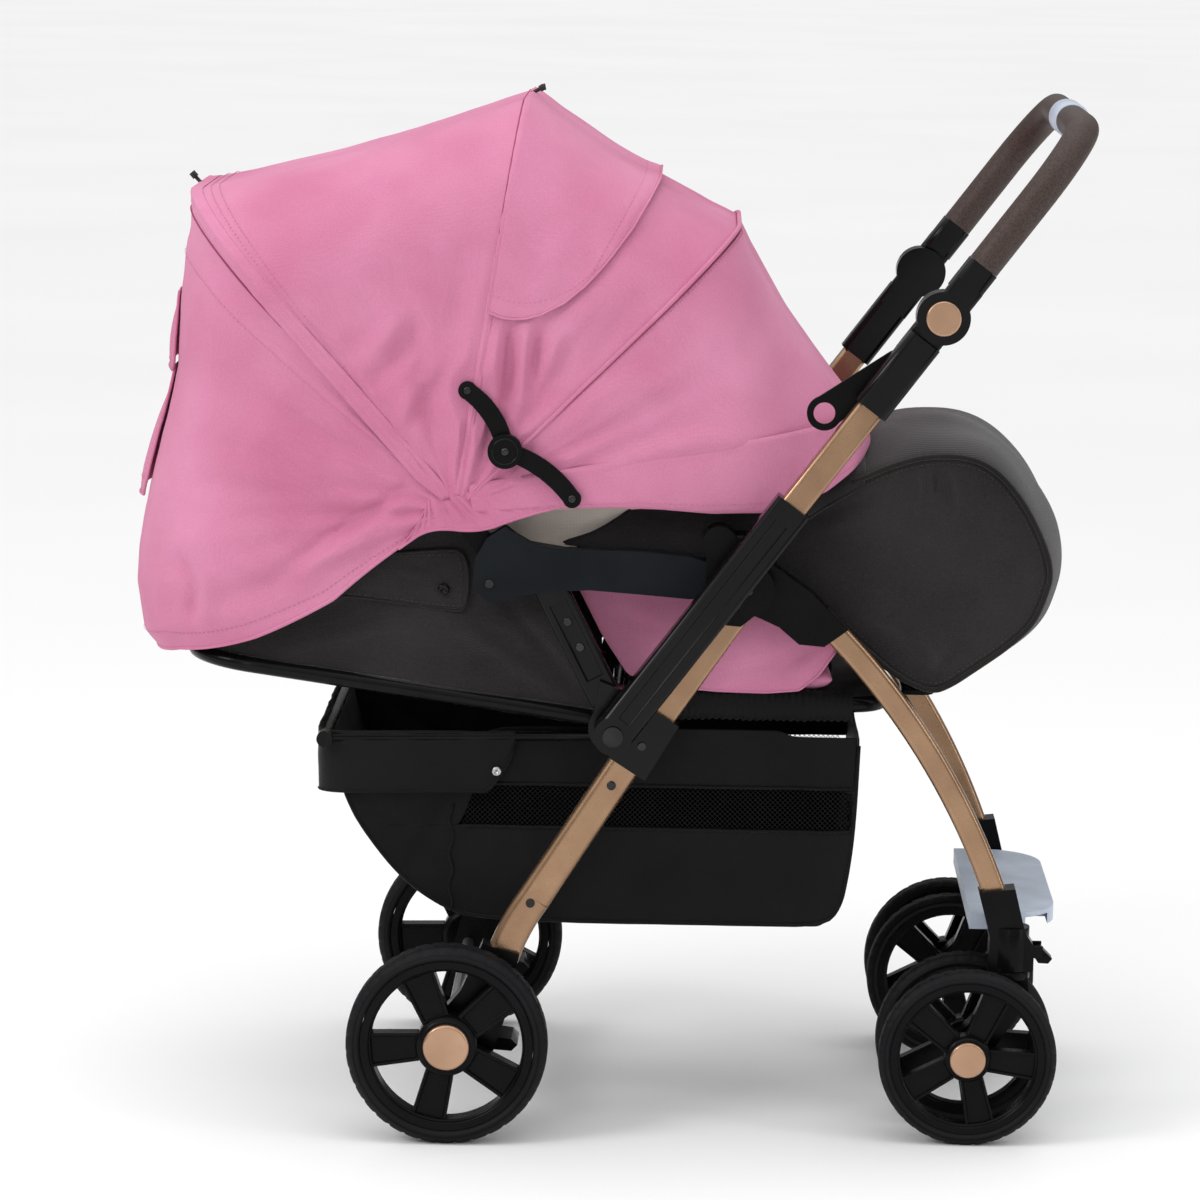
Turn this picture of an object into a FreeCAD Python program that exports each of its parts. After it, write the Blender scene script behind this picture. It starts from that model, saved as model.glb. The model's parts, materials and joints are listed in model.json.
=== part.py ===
import FreeCAD, Part
import math
import os

# Baby stroller with a reversible handle, a fan canopy and a folding frame.
# Millimetres. +X is forward, towards the small caster wheels, +Y is left, +Z is up.
# Every x below is measured forward from the rear axle. At export the whole object moves
# back by MIDDLE_X, so that the origin lies on the ground below the middle of the object.

V = FreeCAD.Vector
MIDDLE_X = 147.5

# Wheels
REAR_WHEEL_R = 100.0
REAR_WHEEL_WIDTH = 34.0
REAR_WHEEL_Y = 241.0
REAR_AXLE_R = 6.0
FRONT_WHEEL_R = 88.5
FRONT_WHEEL_WIDTH = 25.0
FRONT_AXLE_X = 516.0
FRONT_AXLE_R = 4.0
TWIN_OFFSET = 39.0
SPOKES = 5
SPOKE_START = 41.0
RUNNING_GAP = 0.05

# Casters
CASTER_X = 558.0
CASTER_Y = 173.0
STEM_R = 7.0
STEM_BOTTOM = 163.0
STEM_TOP = 212.0
HOUSING_BOTTOM = 170.0
LOCK_PIN_X = 585.5
LOCK_PIN_Z = 190.0

# Frame points in the side view, as (x, z)
HUB = (290.0, 554.0)
PIVOT = (160.0, 415.0)
LEG_TOP = (189.0, 405.0)
LEG_BEND = (84.0, 241.0)
LEG_FOOT = (50.0, 172.0)
UPPER_LEG_FOOT = (202.0, 417.0)
UPPER_LEG_TOP = (277.0, 526.0)
STRUT_FOOT = (152.0, 442.0)
STRUT_TOP = (94.0, 556.0)
KNOB = (261.0, 600.0)
FRONT_LEG_TOP = (360.0, 524.0)
FRONT_LEG_MIDDLE = (474.0, 384.0)
FRONT_LEG_FOOT = (545.0, 236.0)
BRAKE = (28.0, 92.0)

# Frame layers across the object, as distances from the middle plane
REAR_LEG_Y = 205.0
FRONT_LEG_Y = 173.0
PLATE_IN = 190.0
PLATE_OUT = 219.0
ARM_Y = 247.0
ARM_IN = 232.0
ARM_OUT = 262.0
SEAT_HALF = 158.0
WALL = 1.6

# Handle, measured along its own line up from the pivot
HANDLE_ANGLE = 53.0
SLEEVE_TOP = 286.0
TUBE_FOOT = 150.0
TUBE_TOP = 420.0
CLAMP_FOOT = 405.0
KNUCKLE = 518.0
KNUCKLE_R = 26.0
NECK_TOP = 580.0
BAR_FOOT = 560.0
CROSSBAR = 741.0
BAR_CORNER = 78.0
BAR_R = 11.0
GRIP_R = 16.0
BUTTON_R = 17.0
BUTTON_TRAVEL = 3.0
HOOK_ALONG = 455.0
HOOK_ACROSS = 8.0
HOOK_EYE = (360.0, 732.0)

# Seat
SEAT_TUBE_R = 8.0
SEAT_TUBE_Y = 150.0
SEAT_TUBE_Z = 431.0
SEAT_FRONT = 425.0
BACK_ANGLE = 172.1
BACK_LENGTH = 425.0
BACK_TUBE_Y = 176.0
BAR_GUARD_R = 9.0

# Canopy: every rib turns about the same line, through CANOPY_HUB
CANOPY_HUB = (2.0, 627.0)
CANOPY_PIN_R = 3.0
RIB_THICK = 3.0
RIB_WIDTH = 11.0
RIB_CORNER = 130.0
FABRIC_Y = 207.0
FABRIC = 1.5
FABRIC_RISE = 3.5
# name: (angle above forward, radius, distance of its layer from the middle plane)
RIBS = {
    "rear": (132.0, 399.0, 192.5),
    "top": (81.0, 397.0, 196.5),
    "front": (45.0, 380.0, 200.5),
    "visor": (10.0, 406.0, 204.5),
}
STAY_UPPER_END = (12.7, 746.3)
STAY_ELBOW = (50.3, 688.2)
STAY_LOWER_END = (116.1, 642.2)
# Rear curtain of the canopy below the rear rib: (angle, radius)
CURTAIN = [(146.6, 334.0), (165.0, 330.0), (184.0, 331.0), (197.0, 346.0), (204.0, 350.0), (211.0, 341.0)]


# ---- helpers -------------------------------------------------------------------------------

def at(point, y=0.0):
    """A side-view point (x, z) at a distance y to the left."""
    return V(point[0], y, point[1])


def rod(start, end, radius):
    """A round bar from one point to another."""
    return Part.makeCylinder(radius, (end - start).Length, start, end - start)


def cross_rod(point, y_from, y_to, radius):
    """A round bar that runs across the object, centred on a side-view point."""
    return rod(at(point, y_from), at(point, y_to), radius)


def block(x0, x1, y0, y1, z0, z1):
    """A plain box between two corners."""
    return Part.makeBox(x1 - x0, y1 - y0, z1 - z0, V(x0, y0, z0))


def plate(points, y_from, y_to):
    """A side-view outline of straight edges, made solid between two distances."""
    corners = [at(p, y_from) for p in points]
    face = Part.Face(Part.makePolygon(corners + corners[:1]))
    return face.extrude(V(0, y_to - y_from, 0))


def along(start, angle, distance, across=0.0):
    """The side-view point at a distance along a line, and to the left of it seen from -Y."""
    a = math.radians(angle)
    x = start[0] + distance * math.cos(a) - across * math.sin(a)
    return (x, start[1] + distance * math.sin(a) + across * math.cos(a))


def angle_of(start, end):
    """Angle of a side-view line above +X, in degrees."""
    return math.degrees(math.atan2(end[1] - start[1], end[0] - start[0]))


def rounded(width, depth, corner, centre, tangent):
    """A rounded rectangle across a side-view path: width in the side view, depth along Y."""
    across = V(0, 1, 0)
    side = tangent.cross(across).normalize()
    w = width / 2
    d = depth / 2
    edges = []
    c = corner
    signs = [(1, 1), (-1, 1), (-1, -1), (1, -1)]
    bend = c * (1 - math.sqrt(0.5))
    for i, (s, t) in enumerate(signs):
        turn_first = i % 2 == 0
        edge_a = centre + side * (s * w) + across * (t * (d - c))
        edge_b = centre + side * (s * (w - c)) + across * (t * d)
        middle = centre + side * (s * (w - bend)) + across * (t * (d - bend))
        first, last = (edge_a, edge_b) if turn_first else (edge_b, edge_a)
        edges.append(Part.Arc(first, middle, last).toShape())
        s2, t2 = signs[(i + 1) % 4]
        if turn_first:
            following = centre + side * (s2 * (w - c)) + across * (t2 * d)
        else:
            following = centre + side * (s2 * w) + across * (t2 * (d - c))
        edges.append(Part.LineSegment(last, following).toShape())
    return Part.Wire(edges)


def bar(start, end, y, width, depth, corner):
    """A straight bar of rounded rectangular section."""
    a = at(start, y)
    b = at(end, y)
    outline = rounded(width, depth, corner, a, (b - a).normalize())
    return Part.Face(outline).extrude(b - a)


def tube(start, end, y, width, depth, corner):
    """A straight open tube of rounded rectangular section."""
    inner = bar(start, end, y, width - 2 * WALL, depth - 2 * WALL, corner - WALL)
    return bar(start, end, y, width, depth, corner).cut(inner)


def swept(path, width, depth, corner, centre, tangent):
    """A bar of rounded section along a path."""
    outline = rounded(width, depth, corner, centre, tangent)
    return path.makePipeShell([outline], True, True)


def round_swept(path, radius, start, tangent):
    """A round bar along a path."""
    circle = Part.Wire([Part.Circle(start, tangent, radius).toShape()])
    return path.makePipeShell([circle], True, True)


def u_path(foot, crossing, half, corner, direction):
    """A U: up from the foot on the right, across at the crossing, and down on the left."""
    d = direction
    low = foot
    high = crossing
    cut = corner * (1 - math.sqrt(0.5))
    points = [low + V(0, -half, 0), high - d * corner + V(0, -half, 0)]
    points.append(high - d * cut + V(0, -half + cut, 0))
    points.append(high + V(0, -half + corner, 0))
    points.append(high + V(0, half - corner, 0))
    points.append(high - d * cut + V(0, half - cut, 0))
    points.append(high - d * corner + V(0, half, 0))
    points.append(low + V(0, half, 0))
    p = points
    edges = [Part.LineSegment(p[0], p[1]).toShape(), Part.Arc(p[1], p[2], p[3]).toShape()]
    edges.append(Part.LineSegment(p[3], p[4]).toShape())
    edges.append(Part.Arc(p[4], p[5], p[6]).toShape())
    edges.append(Part.LineSegment(p[6], p[7]).toShape())
    return Part.Wire(edges)


def fuse(shapes):
    """One solid out of several that touch or overlap."""
    return shapes[0].multiFuse(shapes[1:]).removeSplitter()


def mirrored(shape):
    """The same piece on the other side of the middle plane."""
    return shape.mirror(V(0, 0, 0), V(0, 1, 0))


def both(shape):
    """A left piece and its right twin, as separate solids of one node."""
    return shape.Solids + mirrored(shape).Solids


NODES = {}


def add(name, solids):
    """Keep one node, made of one solid or a list of solids."""
    NODES[name] = solids if isinstance(solids, list) else solids.Solids


# ---- wheels --------------------------------------------------------------------------------

def tyre(x, z, y, radius, width, bed):
    """A ring with rounded shoulders."""
    outer = Part.makeCylinder(radius, width, V(x, y - width / 2, z), V(0, 1, 0))
    outer = outer.makeFillet(width * 0.3, outer.Edges)
    hole = Part.makeCylinder(bed, width, V(x, y - width / 2, z), V(0, 1, 0))
    return outer.cut(hole)


def rim(x, z, y, bed, width, opening, hub_r, bore_r, spoke_width):
    """A moulded wheel: outer band, hub and five channelled spokes."""
    middle = V(x, y - width / 2, z)
    band = Part.makeCylinder(bed, width, middle, V(0, 1, 0))
    band = band.cut(Part.makeCylinder(opening, width, middle, V(0, 1, 0)))
    hub = Part.makeCylinder(hub_r, width + 4, V(x, y - width / 2 - 2, z), V(0, 1, 0))
    spoke_depth = width * 0.55
    reach = (bed + opening) / 2
    pieces = [band, hub]
    channels = []
    for i in range(SPOKES):
        angle = SPOKE_START + 360.0 / SPOKES * i
        spoke = block(0, reach, -spoke_depth / 2, spoke_depth / 2, -spoke_width / 2, spoke_width / 2)
        inset = spoke_width * 0.27
        channel = block(hub_r, opening, -spoke_depth, spoke_depth, -inset, inset)
        core = block(hub_r, opening, 3 - spoke_depth / 2, spoke_depth / 2 - 3, -inset, inset)
        channel = channel.cut(core)
        for piece in (spoke, channel):
            piece.rotate(V(0, 0, 0), V(0, 1, 0), -angle)
            piece.translate(V(x, y, z))
        pieces.append(spoke)
        channels.append(channel)
    wheel = fuse(pieces).cut(Part.Compound(channels))
    bore = Part.makeCylinder(bore_r, width + 8, V(x, y - width / 2 - 4, z), V(0, 1, 0))
    return wheel.cut(bore)


def cap(x, z, y, radius, depth, side):
    """A domed hub cap that sits on the outer end of a hub."""
    disc = Part.makeCylinder(radius, depth, V(x, y, z), V(0, side, 0))
    outer_edge = [e for e in disc.Edges if e.Length > radius and abs(e.CenterOfMass.y - y) > depth / 2]
    return disc.makeFillet(depth * 0.6, outer_edge)


def make_wheels():
    """Rear wheels turn on the rear axle. Each caster has two front wheels on its own axle."""
    z_rear = REAR_WHEEL_R
    z_front = FRONT_WHEEL_R
    for side, name in ((1, "left"), (-1, "right")):
        y = side * REAR_WHEEL_Y
        add("rear_tyre_" + name, tyre(0, z_rear, y, REAR_WHEEL_R, REAR_WHEEL_WIDTH, 86.0))
        bore = REAR_AXLE_R + RUNNING_GAP
        wheel = rim(0, z_rear, y, 86.0, 30.0, 75.0, 30.0, bore, 31.0)
        add("rear_wheel_" + name, wheel)
        add("rear_cap_" + name, cap(0, z_rear, y + side * 17.0, 23.0, 5.0, side))
        for place, offset in (("outer", side * TWIN_OFFSET), ("inner", -side * TWIN_OFFSET)):
            y = side * CASTER_Y + offset
            bore = FRONT_AXLE_R + RUNNING_GAP
            ring = tyre(FRONT_AXLE_X, z_front, y, FRONT_WHEEL_R, FRONT_WHEEL_WIDTH, 77.0)
            wheel = rim(FRONT_AXLE_X, z_front, y, 77.0, 22.0, 66.0, 23.0, bore, 26.0)
            add("front_wheel_" + place + "_" + name, [ring, wheel])
        y = side * (CASTER_Y + TWIN_OFFSET + 13.0)
        add("front_cap_" + name, cap(FRONT_AXLE_X, z_front, y, 18.0, 4.0, side))


# ---- casters -------------------------------------------------------------------------------

def make_casters():
    """Swivelling forks between the twin wheels, and the levers that lock them straight."""
    outline = [(541, 163), (576, 163), (577, 148), (562, 118), (536, 78), (516, 74), (502, 80)]
    outline += [(500, 96), (510, 106), (524, 122), (536, 146)]
    for side, name in ((1, "left"), (-1, "right")):
        y = side * CASTER_Y
        arm = plate(outline, y - 13, y + 13)
        flange = rod(V(CASTER_X, y, STEM_BOTTOM - 1), V(CASTER_X, y, HOUSING_BOTTOM - 0.5), 20)
        stem = rod(V(CASTER_X, y, STEM_BOTTOM), V(CASTER_X, y, STEM_TOP), STEM_R)
        reach = TWIN_OFFSET + FRONT_WHEEL_WIDTH / 2
        axle = cross_rod((FRONT_AXLE_X, FRONT_WHEEL_R), y - reach, y + reach, FRONT_AXLE_R)
        fork = fuse([arm, flange, stem]).cut(axle)
        add("caster_fork_" + name, fork.Solids + axle.Solids)
        outline_lock = [(582.3, 193), (588.5, 194), (600, 182.5), (596, 177.6), (586, 178), (582, 184)]
        lever = plate(outline_lock, y - 9, y + 9)
        hole = cross_rod((LOCK_PIN_X, LOCK_PIN_Z), y - 10, y + 10, 2.0 + RUNNING_GAP)
        add("swivel_lock_" + name, lever.cut(hole))


# ---- folding front frame -------------------------------------------------------------------

def front_leg_path():
    """The front leg bends in one long arc from the hub bracket to the caster."""
    y = FRONT_LEG_Y
    return Part.Wire([Part.Arc(at(FRONT_LEG_TOP, y), at(FRONT_LEG_MIDDLE, y), at(FRONT_LEG_FOOT, y)).toShape()])


def front_leg(width, depth, corner):
    """A bar of the front leg's shape."""
    path = front_leg_path()
    edge = path.Edges[0]
    tangent = edge.tangentAt(edge.FirstParameter)
    return swept(path, width, depth, corner, at(FRONT_LEG_TOP, FRONT_LEG_Y), tangent)


def make_front_frame():
    """Front legs, the brackets they hang from, caster housings and the footrest."""
    leg_bar = front_leg(24, 15, 5)
    leg = leg_bar.cut(front_leg(24 - 2 * WALL, 15 - 2 * WALL, 5 - WALL))
    add("front_legs", both(leg))

    boss = cross_rod(HUB, 163, 189.3, 24)
    outline = [(272, 542), (283, 531), (321, 514), (341, 497), (366, 495), (389, 512), (352, 549)]
    outline += [(312, 577), (292, 577)]
    bracket = fuse([boss, plate(outline, 163, 189.3)])
    bracket = bracket.cut(leg_bar).cut(cross_rod(HUB, 160, 192, 8.0 + RUNNING_GAP))
    add("leg_sockets", both(bracket))

    outline = [(525, 250), (561, 254), (572, 210), (581, 196), (581, HOUSING_BOTTOM)]
    outline += [(536, HOUSING_BOTTOM), (537, 205)]
    y = CASTER_Y
    housing = plate(outline, y - 14, y + 14)
    barrel = rod(V(CASTER_X, y, HOUSING_BOTTOM), V(CASTER_X, y, 214), 19)
    lugs = [block(574, 590, y + s * 11.5 - 1.8, y + s * 11.5 + 1.8, 184, 196) for s in (-1, 1)]
    pin = cross_rod((LOCK_PIN_X, LOCK_PIN_Z), y - 12, y + 12, 2.0)
    room = block(581, 600, y - 9.4, y + 9.4, 160, 200)
    housing = fuse([housing, barrel] + lugs).cut(room)
    housing = fuse([housing, pin]).cut(leg_bar)
    housing = housing.cut(rod(V(CASTER_X, y, 160), V(CASTER_X, y, STEM_TOP + 0.5), STEM_R + RUNNING_GAP))
    add("caster_housings", both(housing))

    step = block(518, 606, -156, 156, 206, 222)
    corners = [e for e in step.Edges if abs(e.CenterOfMass.x - 606) < 1 and abs(e.CenterOfMass.z - 214) < 1]
    step = step.makeFillet(62, corners)
    hollow = block(524, 598, -148, 148, 200, 217)
    step = step.cut(hollow)
    ribs = [block(524, 598, y - 1.5, y + 1.5, 208, 218) for y in (-100, -50, 0, 50, 100)]
    housings = Part.Compound(both(housing))
    add("footrest", fuse([step] + ribs).cut(housings))

    beam = block(540, 572, -159, 159, 190, 205.5)
    tabs = [plate([(536, 205.5), (566, 205.5), (556, 252), (536, 252)], s * 157, s * 165.2) for s in (-1, 1)]
    feet = [block(540, 566, min(s * 157, s * 159), max(s * 157, s * 159), 190, 210) for s in (-1, 1)]
    add("footrest_bracket", fuse([beam] + tabs + feet).cut(housings))


# ---- rear frame ----------------------------------------------------------------------------

def lower_leg(width, depth, corner):
    """A bar of the rear leg's shape: straight, with a gentle bend above the wheel."""
    y = REAR_LEG_Y
    line_angle = angle_of(LEG_TOP, LEG_BEND)
    foot_angle = angle_of(LEG_BEND, LEG_FOOT)
    middle = along(LEG_BEND, (line_angle * 3 + foot_angle) / 4, 38.0)
    arc = Part.Arc(at(LEG_BEND, y), at(middle, y), at(LEG_FOOT, y)).toShape()
    tangent = (at(LEG_BEND, y) - at(LEG_TOP, y)).normalize()
    start = rounded(width, depth, corner, at(LEG_TOP, y), tangent)
    straight = Part.Face(start).extrude(at(LEG_BEND, y) - at(LEG_TOP, y))
    bend_tangent = arc.tangentAt(arc.FirstParameter)
    bend = swept(Part.Wire([arc]), width, depth, corner, at(LEG_BEND, y), bend_tangent)
    return straight, bend


def make_rear_frame():
    """Rear legs, cast brackets, struts, armrests and the rods that cross the frame."""
    straight, bend = lower_leg(33, 18, 8)
    straight_in, bend_in = lower_leg(33 - 2 * WALL, 18 - 2 * WALL, 8 - WALL)
    leg_bar = fuse([straight, bend])
    leg = leg_bar.cut(straight_in).cut(bend_in)
    upper_bar = bar(UPPER_LEG_FOOT, UPPER_LEG_TOP, REAR_LEG_Y, 25, 15, 4)
    upper = tube(UPPER_LEG_FOOT, UPPER_LEG_TOP, REAR_LEG_Y, 25, 15, 4)
    add("rear_legs", both(leg) + both(upper))

    lean = angle_of(LEG_BEND, LEG_TOP)
    centre = (192, 403)
    corners = [(-34, -21), (30, -19), (30, 17), (-34, 22)]
    collar = plate([along(centre, lean, s, t) for s, t in corners], PLATE_IN, PLATE_OUT)
    boss = cross_rod(PIVOT, PLATE_IN, PLATE_OUT, 25)
    web = plate([(140, 430), (178, 380), (215, 420), (172, 452), (146, 462)], PLATE_IN, PLATE_OUT)
    strut_bar = bar(STRUT_FOOT, STRUT_TOP, REAR_LEG_Y - 1, 32, 14, 3)
    pivot_hole = cross_rod(PIVOT, 180, 230, REAR_AXLE_R)
    upper_solid = upper_bar.common(block(150, 300, 180, 230, 400, 560))
    bracket = fuse([collar, boss, web]).cut(leg_bar).cut(upper_solid).cut(strut_bar).cut(pivot_hole)
    channel_end = along(STRUT_TOP, angle_of(STRUT_TOP, STRUT_FOOT), 20)
    channel_start = along(STRUT_FOOT, angle_of(STRUT_FOOT, STRUT_TOP), 24)
    channel = bar(channel_start, channel_end, REAR_LEG_Y + 6, 18, 8, 2)
    strut = strut_bar.cut(channel).cut(pivot_hole)
    add("leg_brackets", both(bracket) + both(strut))

    outline = [(22, 581), (33, 601), (51, 612.7), (62, 604), (75.6, 596.4), (110, 591), (183, 590.4)]
    outline += [(232, 586), (262, 577), (262, 545), (232, 544.2), (183, 548), (134, 551.3), (90, 548.6)]
    outline += [(56, 542.2), (36.5, 537), (19, 551)]
    arm = plate(outline, 192, 213)
    arm = arm.cut(bar(STRUT_FOOT, STRUT_TOP, REAR_LEG_Y - 1, 32, 14, 3))
    lug = cross_rod((40, 575), 184.8, 192.5, 7)
    add("armrests", both(fuse([arm, lug])))

    boss = cross_rod(HUB, PLATE_IN, PLATE_OUT - 2, 26)
    outline = [(248, 606), (276, 606), (303, 577), (310, 540), (283, 518), (258, 520), (248, 545)]
    web = plate(outline, PLATE_IN, PLATE_OUT - 4)
    knob = cross_rod(KNOB, 184, 216, 17)
    bolt = cross_rod(HUB, 158, PLATE_IN + 2, 8.0)
    head = cross_rod(HUB, 155, 162.8, 12)
    hub = fuse([boss, web, knob, bolt, head]).cut(upper_bar).cut(arm)
    guard_end = rod(V(262, 184, 600), V(290, 184, 600), BAR_GUARD_R)
    add("hub_castings", both(hub.cut(guard_end)))

    outline = [(33, 196), (70, 186), (60, 132), (44, 84), (24, 76), (-4, 80), (-16, 98), (-8, 124), (12, 148)]
    rear_hub = plate(outline, 195, 219.5).cut(leg_bar)
    rear_hub = rear_hub.cut(cross_rod((0, REAR_WHEEL_R), 190, 225, REAR_AXLE_R))
    rear_hub = rear_hub.cut(cross_rod(BRAKE, 190, 225, 5.0 + RUNNING_GAP))
    add("rear_hubs", both(rear_hub))

    end = REAR_WHEEL_Y + 16.9
    add("rear_axle", cross_rod((0, REAR_WHEEL_R), -end, end, REAR_AXLE_R))
    heads = [rod(at(PIVOT, s * (ARM_OUT + 0.3)), at(PIVOT, s * (ARM_OUT + 3.5)), 10) for s in (-1, 1)]
    core = cross_rod(PIVOT, -ARM_OUT - 1, ARM_OUT + 1, REAR_AXLE_R)
    add("pivot_rod", fuse([core] + heads))

    bar_rod = cross_rod(BRAKE, -219, 219, 5.0)
    pedals = []
    for s in (-1, 1):
        inner = s * 140
        outer = s * 190
        low = min(inner, outer)
        high = max(inner, outer)
        pedal = plate([(24, 88), (34, 96), (62, 92), (68, 86), (62, 80), (34, 82)], low, high)
        pedals.append(pedal)
    add("brake_bar", fuse([bar_rod] + pedals))


def make_fasteners():
    """Rivet and screw heads on the outer faces of the rear frame."""
    heads = []
    strut_angle = angle_of(STRUT_FOOT, STRUT_TOP)
    places = [(along(STRUT_FOOT, strut_angle, s), REAR_LEG_Y + 2) for s in (58, 86)]
    places += [((180, 437), PLATE_OUT), ((188, 398), PLATE_OUT)]
    places += [((80, 237), REAR_LEG_Y + 9), ((158.5, 357), REAR_LEG_Y + 9)]
    places += [((36, 556), 213), (HUB, PLATE_OUT - 2), ((262, 530), PLATE_OUT - 4)]
    for point, y in places:
        head = cross_rod(point, y, y + 2.2, 4.5)
        rim_edge = [e for e in head.Edges if abs(e.CenterOfMass.y - y - 2.2) < 0.1]
        heads += both(head.makeFillet(1.2, rim_edge))
    add("frame_screws", heads)


# ---- handle --------------------------------------------------------------------------------

def on_handle(distance, across=0.0):
    """A side-view point on the handle's line."""
    return along(PIVOT, HANDLE_ANGLE, distance, across)


def make_handle():
    """Sleeves, tubes and clamps swing as one; the U-shaped bar tilts on the knuckles."""
    sleeve = bar(on_handle(0), on_handle(SLEEVE_TOP), ARM_Y, 38, 30, 5)
    foot = cross_rod(PIVOT, ARM_IN, ARM_OUT, 19)
    pocket = bar(on_handle(TUBE_FOOT - 1), on_handle(SLEEVE_TOP + 1), ARM_Y, 27.4, 22.4, 4)
    groove = bar(on_handle(18), on_handle(SLEEVE_TOP - 20), ARM_OUT + 0.5, 14, 5, 2)
    sleeve = fuse([sleeve, foot]).cut(pocket).cut(groove)
    sleeve = sleeve.cut(cross_rod(PIVOT, ARM_IN - 2, ARM_OUT + 5, REAR_AXLE_R + RUNNING_GAP))
    add("handle_sleeves", both(sleeve))

    add("handle_tubes", both(tube(on_handle(TUBE_FOOT), on_handle(TUBE_TOP), ARM_Y, 27, 22, 4)))

    knuckle = on_handle(KNUCKLE)
    body = bar(on_handle(CLAMP_FOOT), on_handle(KNUCKLE - KNUCKLE_R - 2), ARM_Y, 35, 30, 6)
    inner_half = bar(on_handle(KNUCKLE - 50), knuckle, (ARM_IN + 246.7) / 2, 35, 246.7 - ARM_IN, 3)
    disc = cross_rod(knuckle, ARM_IN, 246.7, KNUCKLE_R)
    pocket = bar(on_handle(CLAMP_FOOT - 1), on_handle(TUBE_TOP + 1), ARM_Y, 27, 22, 4)
    clamp = fuse([body, inner_half, disc]).cut(pocket)
    clamp = clamp.cut(cross_rod(knuckle, ARM_IN - 1, 248, 7.0 + RUNNING_GAP))
    hook_pivot = on_handle(HOOK_ALONG, HOOK_ACROSS)
    pin = cross_rod(hook_pivot, -ARM_IN - 1, -226.6, 3.0)
    right_clamp = fuse([mirrored(clamp), pin])
    add("handle_clamps", clamp.Solids + right_clamp.Solids)

    eye = cross_rod(HOOK_EYE, -231.5, -227.2, 17)
    root = cross_rod(hook_pivot, -231.5, -227.2, 11)
    lean = angle_of(hook_pivot, HOOK_EYE)
    corners = [along(hook_pivot, lean, 0, 11), along(HOOK_EYE, lean, 0, 16.5)]
    corners += [along(HOOK_EYE, lean, 0, -16.5), along(hook_pivot, lean, 0, -11)]
    strap = plate(corners, -231.5, -227.2)
    hook = fuse([eye, root, strap]).cut(cross_rod(HOOK_EYE, -240, -220, 10.5))
    add("fold_hook", hook.cut(cross_rod(hook_pivot, -240, -220, 3.0 + RUNNING_GAP)))

    disc = cross_rod(knuckle, 247, ARM_OUT, KNUCKLE_R)
    recess = cross_rod(knuckle, 257, ARM_OUT + 1, BUTTON_R + 0.3)
    link = bar(knuckle, on_handle(KNUCKLE + 40), (247 + ARM_OUT) / 2, 32, ARM_OUT - 247, 4)
    neck = bar(on_handle(KNUCKLE + KNUCKLE_R + 2), on_handle(NECK_TOP), ARM_Y, 32, 30, 7)
    pin = cross_rod(knuckle, 232.5, 248, 7.0)
    direction = (at(on_handle(1)) - at(on_handle(0))).normalize()
    foot_point = at(on_handle(BAR_FOOT))
    top_point = at(on_handle(CROSSBAR))
    path = u_path(foot_point, top_point, ARM_Y, BAR_CORNER, direction)
    start = foot_point + V(0, -ARM_Y, 0)
    handle_bar = round_swept(path, BAR_R, start, direction)
    joint = fuse([disc, link, neck, pin]).cut(recess)
    joint = joint.cut(rod(foot_point + V(0, ARM_Y, 0), foot_point + V(0, ARM_Y, 0) + direction * 60, BAR_R))
    add("grip_joints", both(joint))
    inner = round_swept(path, BAR_R - WALL, start, direction)
    add("handle_bar", handle_bar.cut(inner))

    outer = round_swept(path, GRIP_R, start, direction)
    core = round_swept(path, BAR_R + 0.05, start, direction)
    foam = outer.cut(core)
    cover_half = 40.0
    room = Part.makeBox(300, 2 * ARM_Y + 100, 120, V(NECK_TOP + 0.5, -ARM_Y - 50, -60))
    room = room.cut(Part.makeBox(400, 2 * cover_half, 200, V(NECK_TOP - 50, -cover_half, -100)))
    room.rotate(V(0, 0, 0), V(0, 1, 0), -HANDLE_ANGLE)
    room.translate(at(PIVOT))
    add("grips", foam.common(room).Solids)

    shell = cross_rod(on_handle(CROSSBAR), 0.5 - cover_half, cover_half - 0.5, 18)
    shell = shell.makeFillet(4, [e for e in shell.Edges if e.Curve.TypeId == "Part::GeomCircle"])
    add("grip_cover", shell.cut(cross_rod(on_handle(CROSSBAR), -cover_half, cover_half, BAR_R + 0.05)))

    for side, name in ((1, "left"), (-1, "right")):
        face = 257 + BUTTON_TRAVEL + 0.5
        button = rod(at(knuckle, side * face), at(knuckle, side * (face + 5.5)), BUTTON_R)
        outer_edge = [e for e in button.Edges if abs(abs(e.CenterOfMass.y) - face - 5.5) < 0.1]
        add("knuckle_button_" + name, button.makeFillet(2.0, outer_edge))


# ---- seat, backrest, leg rest --------------------------------------------------------------

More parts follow.
